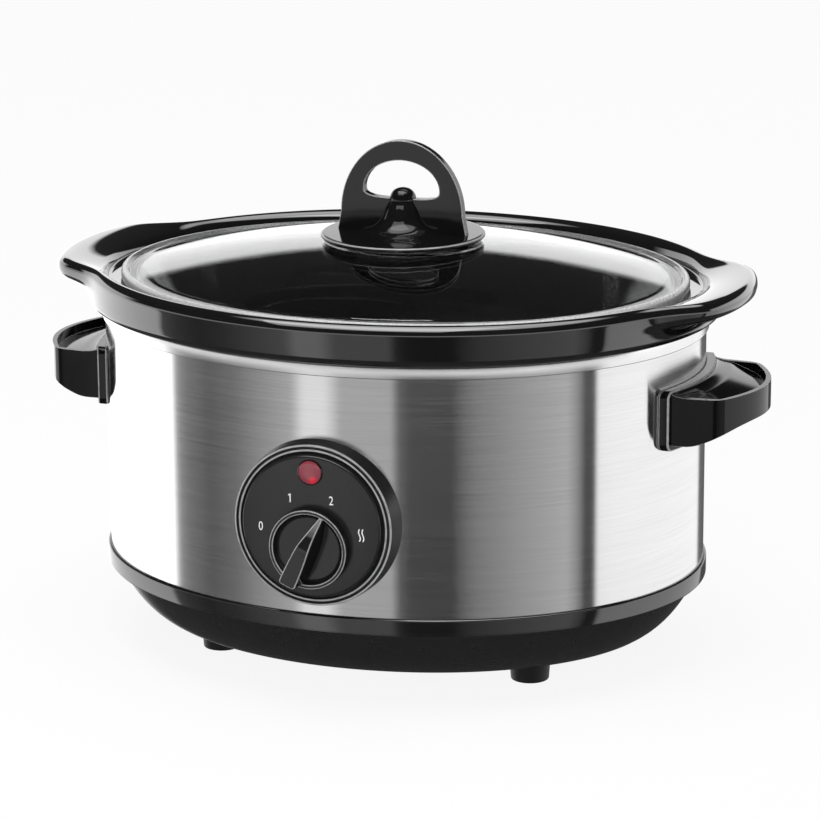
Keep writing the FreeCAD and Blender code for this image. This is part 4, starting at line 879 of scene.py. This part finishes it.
outer, inner = [], []
for k in range(ARCH_POINTS):
    angle = 2 * math.pi * k / ARCH_POINTS
    c, s = math.cos(angle), math.sin(angle)
    if s >= 0:
        outer.append((ARCH_SHOULDER * c, ARCH_MID + (ARCH_TOP - ARCH_MID) * s))
        inner.append((EYE_HALF * c, EYE_SIDE + (EYE_TOP - EYE_SIDE) * s))
    else:
        drop = min(1.0, -s * LEG_DROP)
        foot_half = ARCH_SHOULDER + (ARCH_FOOT - ARCH_SHOULDER) * drop
        sweep = max(-1.0, min(1.0, c * LEG_SWEEP))
        outer.append((foot_half * sweep, ARCH_MID - (ARCH_MID - ARCH_ROOT) * drop))
        inner.append((EYE_HALF * math.copysign(abs(c) ** EYE_SQUARE, c),
                      EYE_SIDE - (EYE_SIDE - EYE_LOW) * (-s) ** EYE_SAG))
eye = draw("arch_eye", inner)
arch = draw("arch_outside", outer)
eye.select_set(True)
bpy.ops.object.join()
bpy.ops.object.mode_set(mode="EDIT")
bpy.ops.mesh.select_all(action="SELECT")
bpy.ops.mesh.bridge_edge_loops()
bpy.ops.mesh.select_all(action="SELECT")
bpy.ops.transform.translate(value=(0, 0, -ARCH_THICK / 2 * MM))
bpy.ops.mesh.extrude_region_move(TRANSFORM_OT_translate={"value": (0, 0, ARCH_THICK * MM)})
bpy.ops.object.mode_set(mode="OBJECT")
close(arch)
soften(arch, width=0.7, angle=40, finish=grip_black)
arch.rotation_euler = (math.radians(90), 0, 0)
pick(arch)
bpy.ops.object.transform_apply(rotation=True)
pick(lid_handle, arch)
bpy.ops.object.join()
place(lid_handle, sharp=40)
even(lid_handle)
dress(lid_handle, "lid", "grip_black", grip_black, "lid_handle")

# Studio. A white sweep, two soft lamps and a surround of pale and dark flats that the steel mirrors
# as upright bands; the camera stands where the photograph was taken from.

# azimuth from the front, degrees (positive to the right), and how bright the surround is there
SURROUND = [(-180, 0.12), (-168, 0.12), (-163, 1.6), (-78.5, 1.6), (-76, 0.3), (-70, 0.17),
            (-60, 0.09), (-50, 0.14), (-38, 0.3), (-29, 0.42), (-25, 0.85), (-18, 0.85),
            (-13, 0.42), (3, 0.41), (5.5, 0.1), (9, 0.03), (23, 0.025), (26, 0.1), (31, 0.19),
            (46, 0.32), (66, 0.46), (71, 0.28), (74.5, 0.05), (79, 0.05), (80.5, 1.0), (90, 1.05),
            (165, 1.05), (169, 0.15), (180, 0.12)]
# where each part of the surround starts and is whole: sines of the angle above the horizon, or
# below it for the deep shade, or towards the back for what is behind
BEHIND = (0.0, 0.15)
PALE_STRIP, BACK_PAPER, DEEP_SHADE = (-0.115, -0.09), (-0.06, 0.0), (0.4, 0.48)
BLACK_FRONT, BLACK_BACK, SOFTBOX = (0.02, 0.07), (0.28, 0.315), (0.83, 0.89)
STRIP_LEVEL, PAPER_LEVEL, SHADE_LEVEL = 1.0, 1.35, 0.08
BLACK_LEVEL, SOFTBOX_LEVEL, BACKDROP_LEVEL = 0.03, 2.5, 0.975
FLOOR_GLOW = 0.9
VIEW_SPOT = (0.5714, -1.6496, 0.5859)
VIEW_AZIMUTH, VIEW_RISE, VIEW_ROLL = 0.330, 0.262, -0.006

bpy.ops.object.select_all(action="DESELECT")
bpy.ops.mesh.primitive_plane_add(size=6.0)
floor = bpy.context.object
floor.name = "studio_floor"
floor.visible_glossy = False
paper = bpy.data.materials.new("white_sweep")
paper.use_nodes = True
tree = paper.node_tree
tree.nodes.clear()
from_camera = Socket(tree, tree.nodes.new("ShaderNodeLightPath").outputs["Is Camera Ray"])
matt = from_camera.node("BsdfDiffuse", {}, {"Color": grey(0.82)})
glow = from_camera.node("Emission", {}, {"Color": grey(1.0), "Strength": 1.0})
shown = from_camera.node("MixShader", {}, {0: from_camera * FLOOR_GLOW, 1: matt, 2: glow})
tree.links.new(shown.output, tree.nodes.new("ShaderNodeOutputMaterial").inputs[0])
floor.data.materials.append(paper)

world = bpy.data.worlds.new("studio_surround")
bpy.context.scene.world = world
world.use_nodes = True
tree = world.node_tree
tree.nodes.clear()
way = Socket(tree, tree.nodes.new("ShaderNodeTexCoord").outputs["Generated"])
way_x, way_y, way_z = (way.node("SeparateXYZ", {}, {0: way}, k) for k in range(3))
bearing = way.node("CombineXYZ", {}, {0: -1.0 * way_y, 1: way_x})
around = way.node("TexGradient", {"gradient_type": "RADIAL"}, {0: bearing}, 1)
flat_stops = [(azimuth / 360 + 0.5, grey(level)) for azimuth, level in SURROUND]
flats = way.node("ValToRGB", {"stops": flat_stops}, {0: around})
behind = step(way_y, *BEHIND)
low = (step(way_z, *BACK_PAPER) * behind).mix(flats, grey(PAPER_LEVEL))
low = (step(way_z, *PALE_STRIP) * (1 - behind)).mix(low, grey(STRIP_LEVEL))
low = step(-1.0 * way_z, *DEEP_SHADE).mix(low, grey(SHADE_LEVEL))
dark_front = step(way_z, *BLACK_FRONT)
black = dark_front + (step(way_z, *BLACK_BACK) - dark_front) * behind
seen = step(way_z, *SOFTBOX).mix(black.mix(low, grey(BLACK_LEVEL)), grey(SOFTBOX_LEVEL))
path = tree.nodes.new("ShaderNodeLightPath")
bounced = way.sum("MINIMUM", Socket(tree, path.outputs["Glossy Depth"])
                  + Socket(tree, path.outputs["Diffuse Depth"]), 1.0)
through = Socket(tree, path.outputs["Is Transmission Ray"]) * (1 - bounced)
plain = way.sum("MINIMUM", Socket(tree, path.outputs["Is Camera Ray"]) + through, 1.0)
backdrop = way.node("Background", {}, {0: plain.mix(seen, grey(BACKDROP_LEVEL)), 1: 1.0})
tree.links.new(backdrop.output, tree.nodes.new("ShaderNodeOutputWorld").inputs[0])


def soft_lamp(spot, turn, size, energy):
    """A square soft lamp at a spot, turned by angles in degrees."""
    bpy.ops.object.light_add(type="AREA", location=spot)
    made = bpy.context.object
    made.data.size = size
    made.data.energy = energy
    made.rotation_euler = [math.radians(angle) for angle in turn]
    return made


# the lamp in front lights the printed marks and matt faces, and shows in no reflection
soft_lamp((-0.2, -0.5, 1.5), turn=(20, 0, 0), size=1.2, energy=9.0)
front_lamp = soft_lamp((0.3, -1.8, 0.6), turn=(75, 0, 9.5), size=1.0, energy=17.0)
front_lamp.visible_glossy = False

bpy.ops.object.camera_add(location=VIEW_SPOT)
camera = bpy.context.object
camera.rotation_mode = "QUATERNION"
level_view = Euler((math.pi / 2 - VIEW_RISE, 0, VIEW_AZIMUTH)).to_quaternion()
camera.rotation_quaternion = level_view @ Quaternion((0, 0, 1), VIEW_ROLL)
camera.data.sensor_width = 36.0
camera.data.lens = 161.2
camera.data.shift_x = 0.0011
camera.data.shift_y = 0.0014
camera.data.clip_end = 20.0
bpy.context.scene.camera = camera
bpy.context.scene.view_settings.view_transform = "Standard"
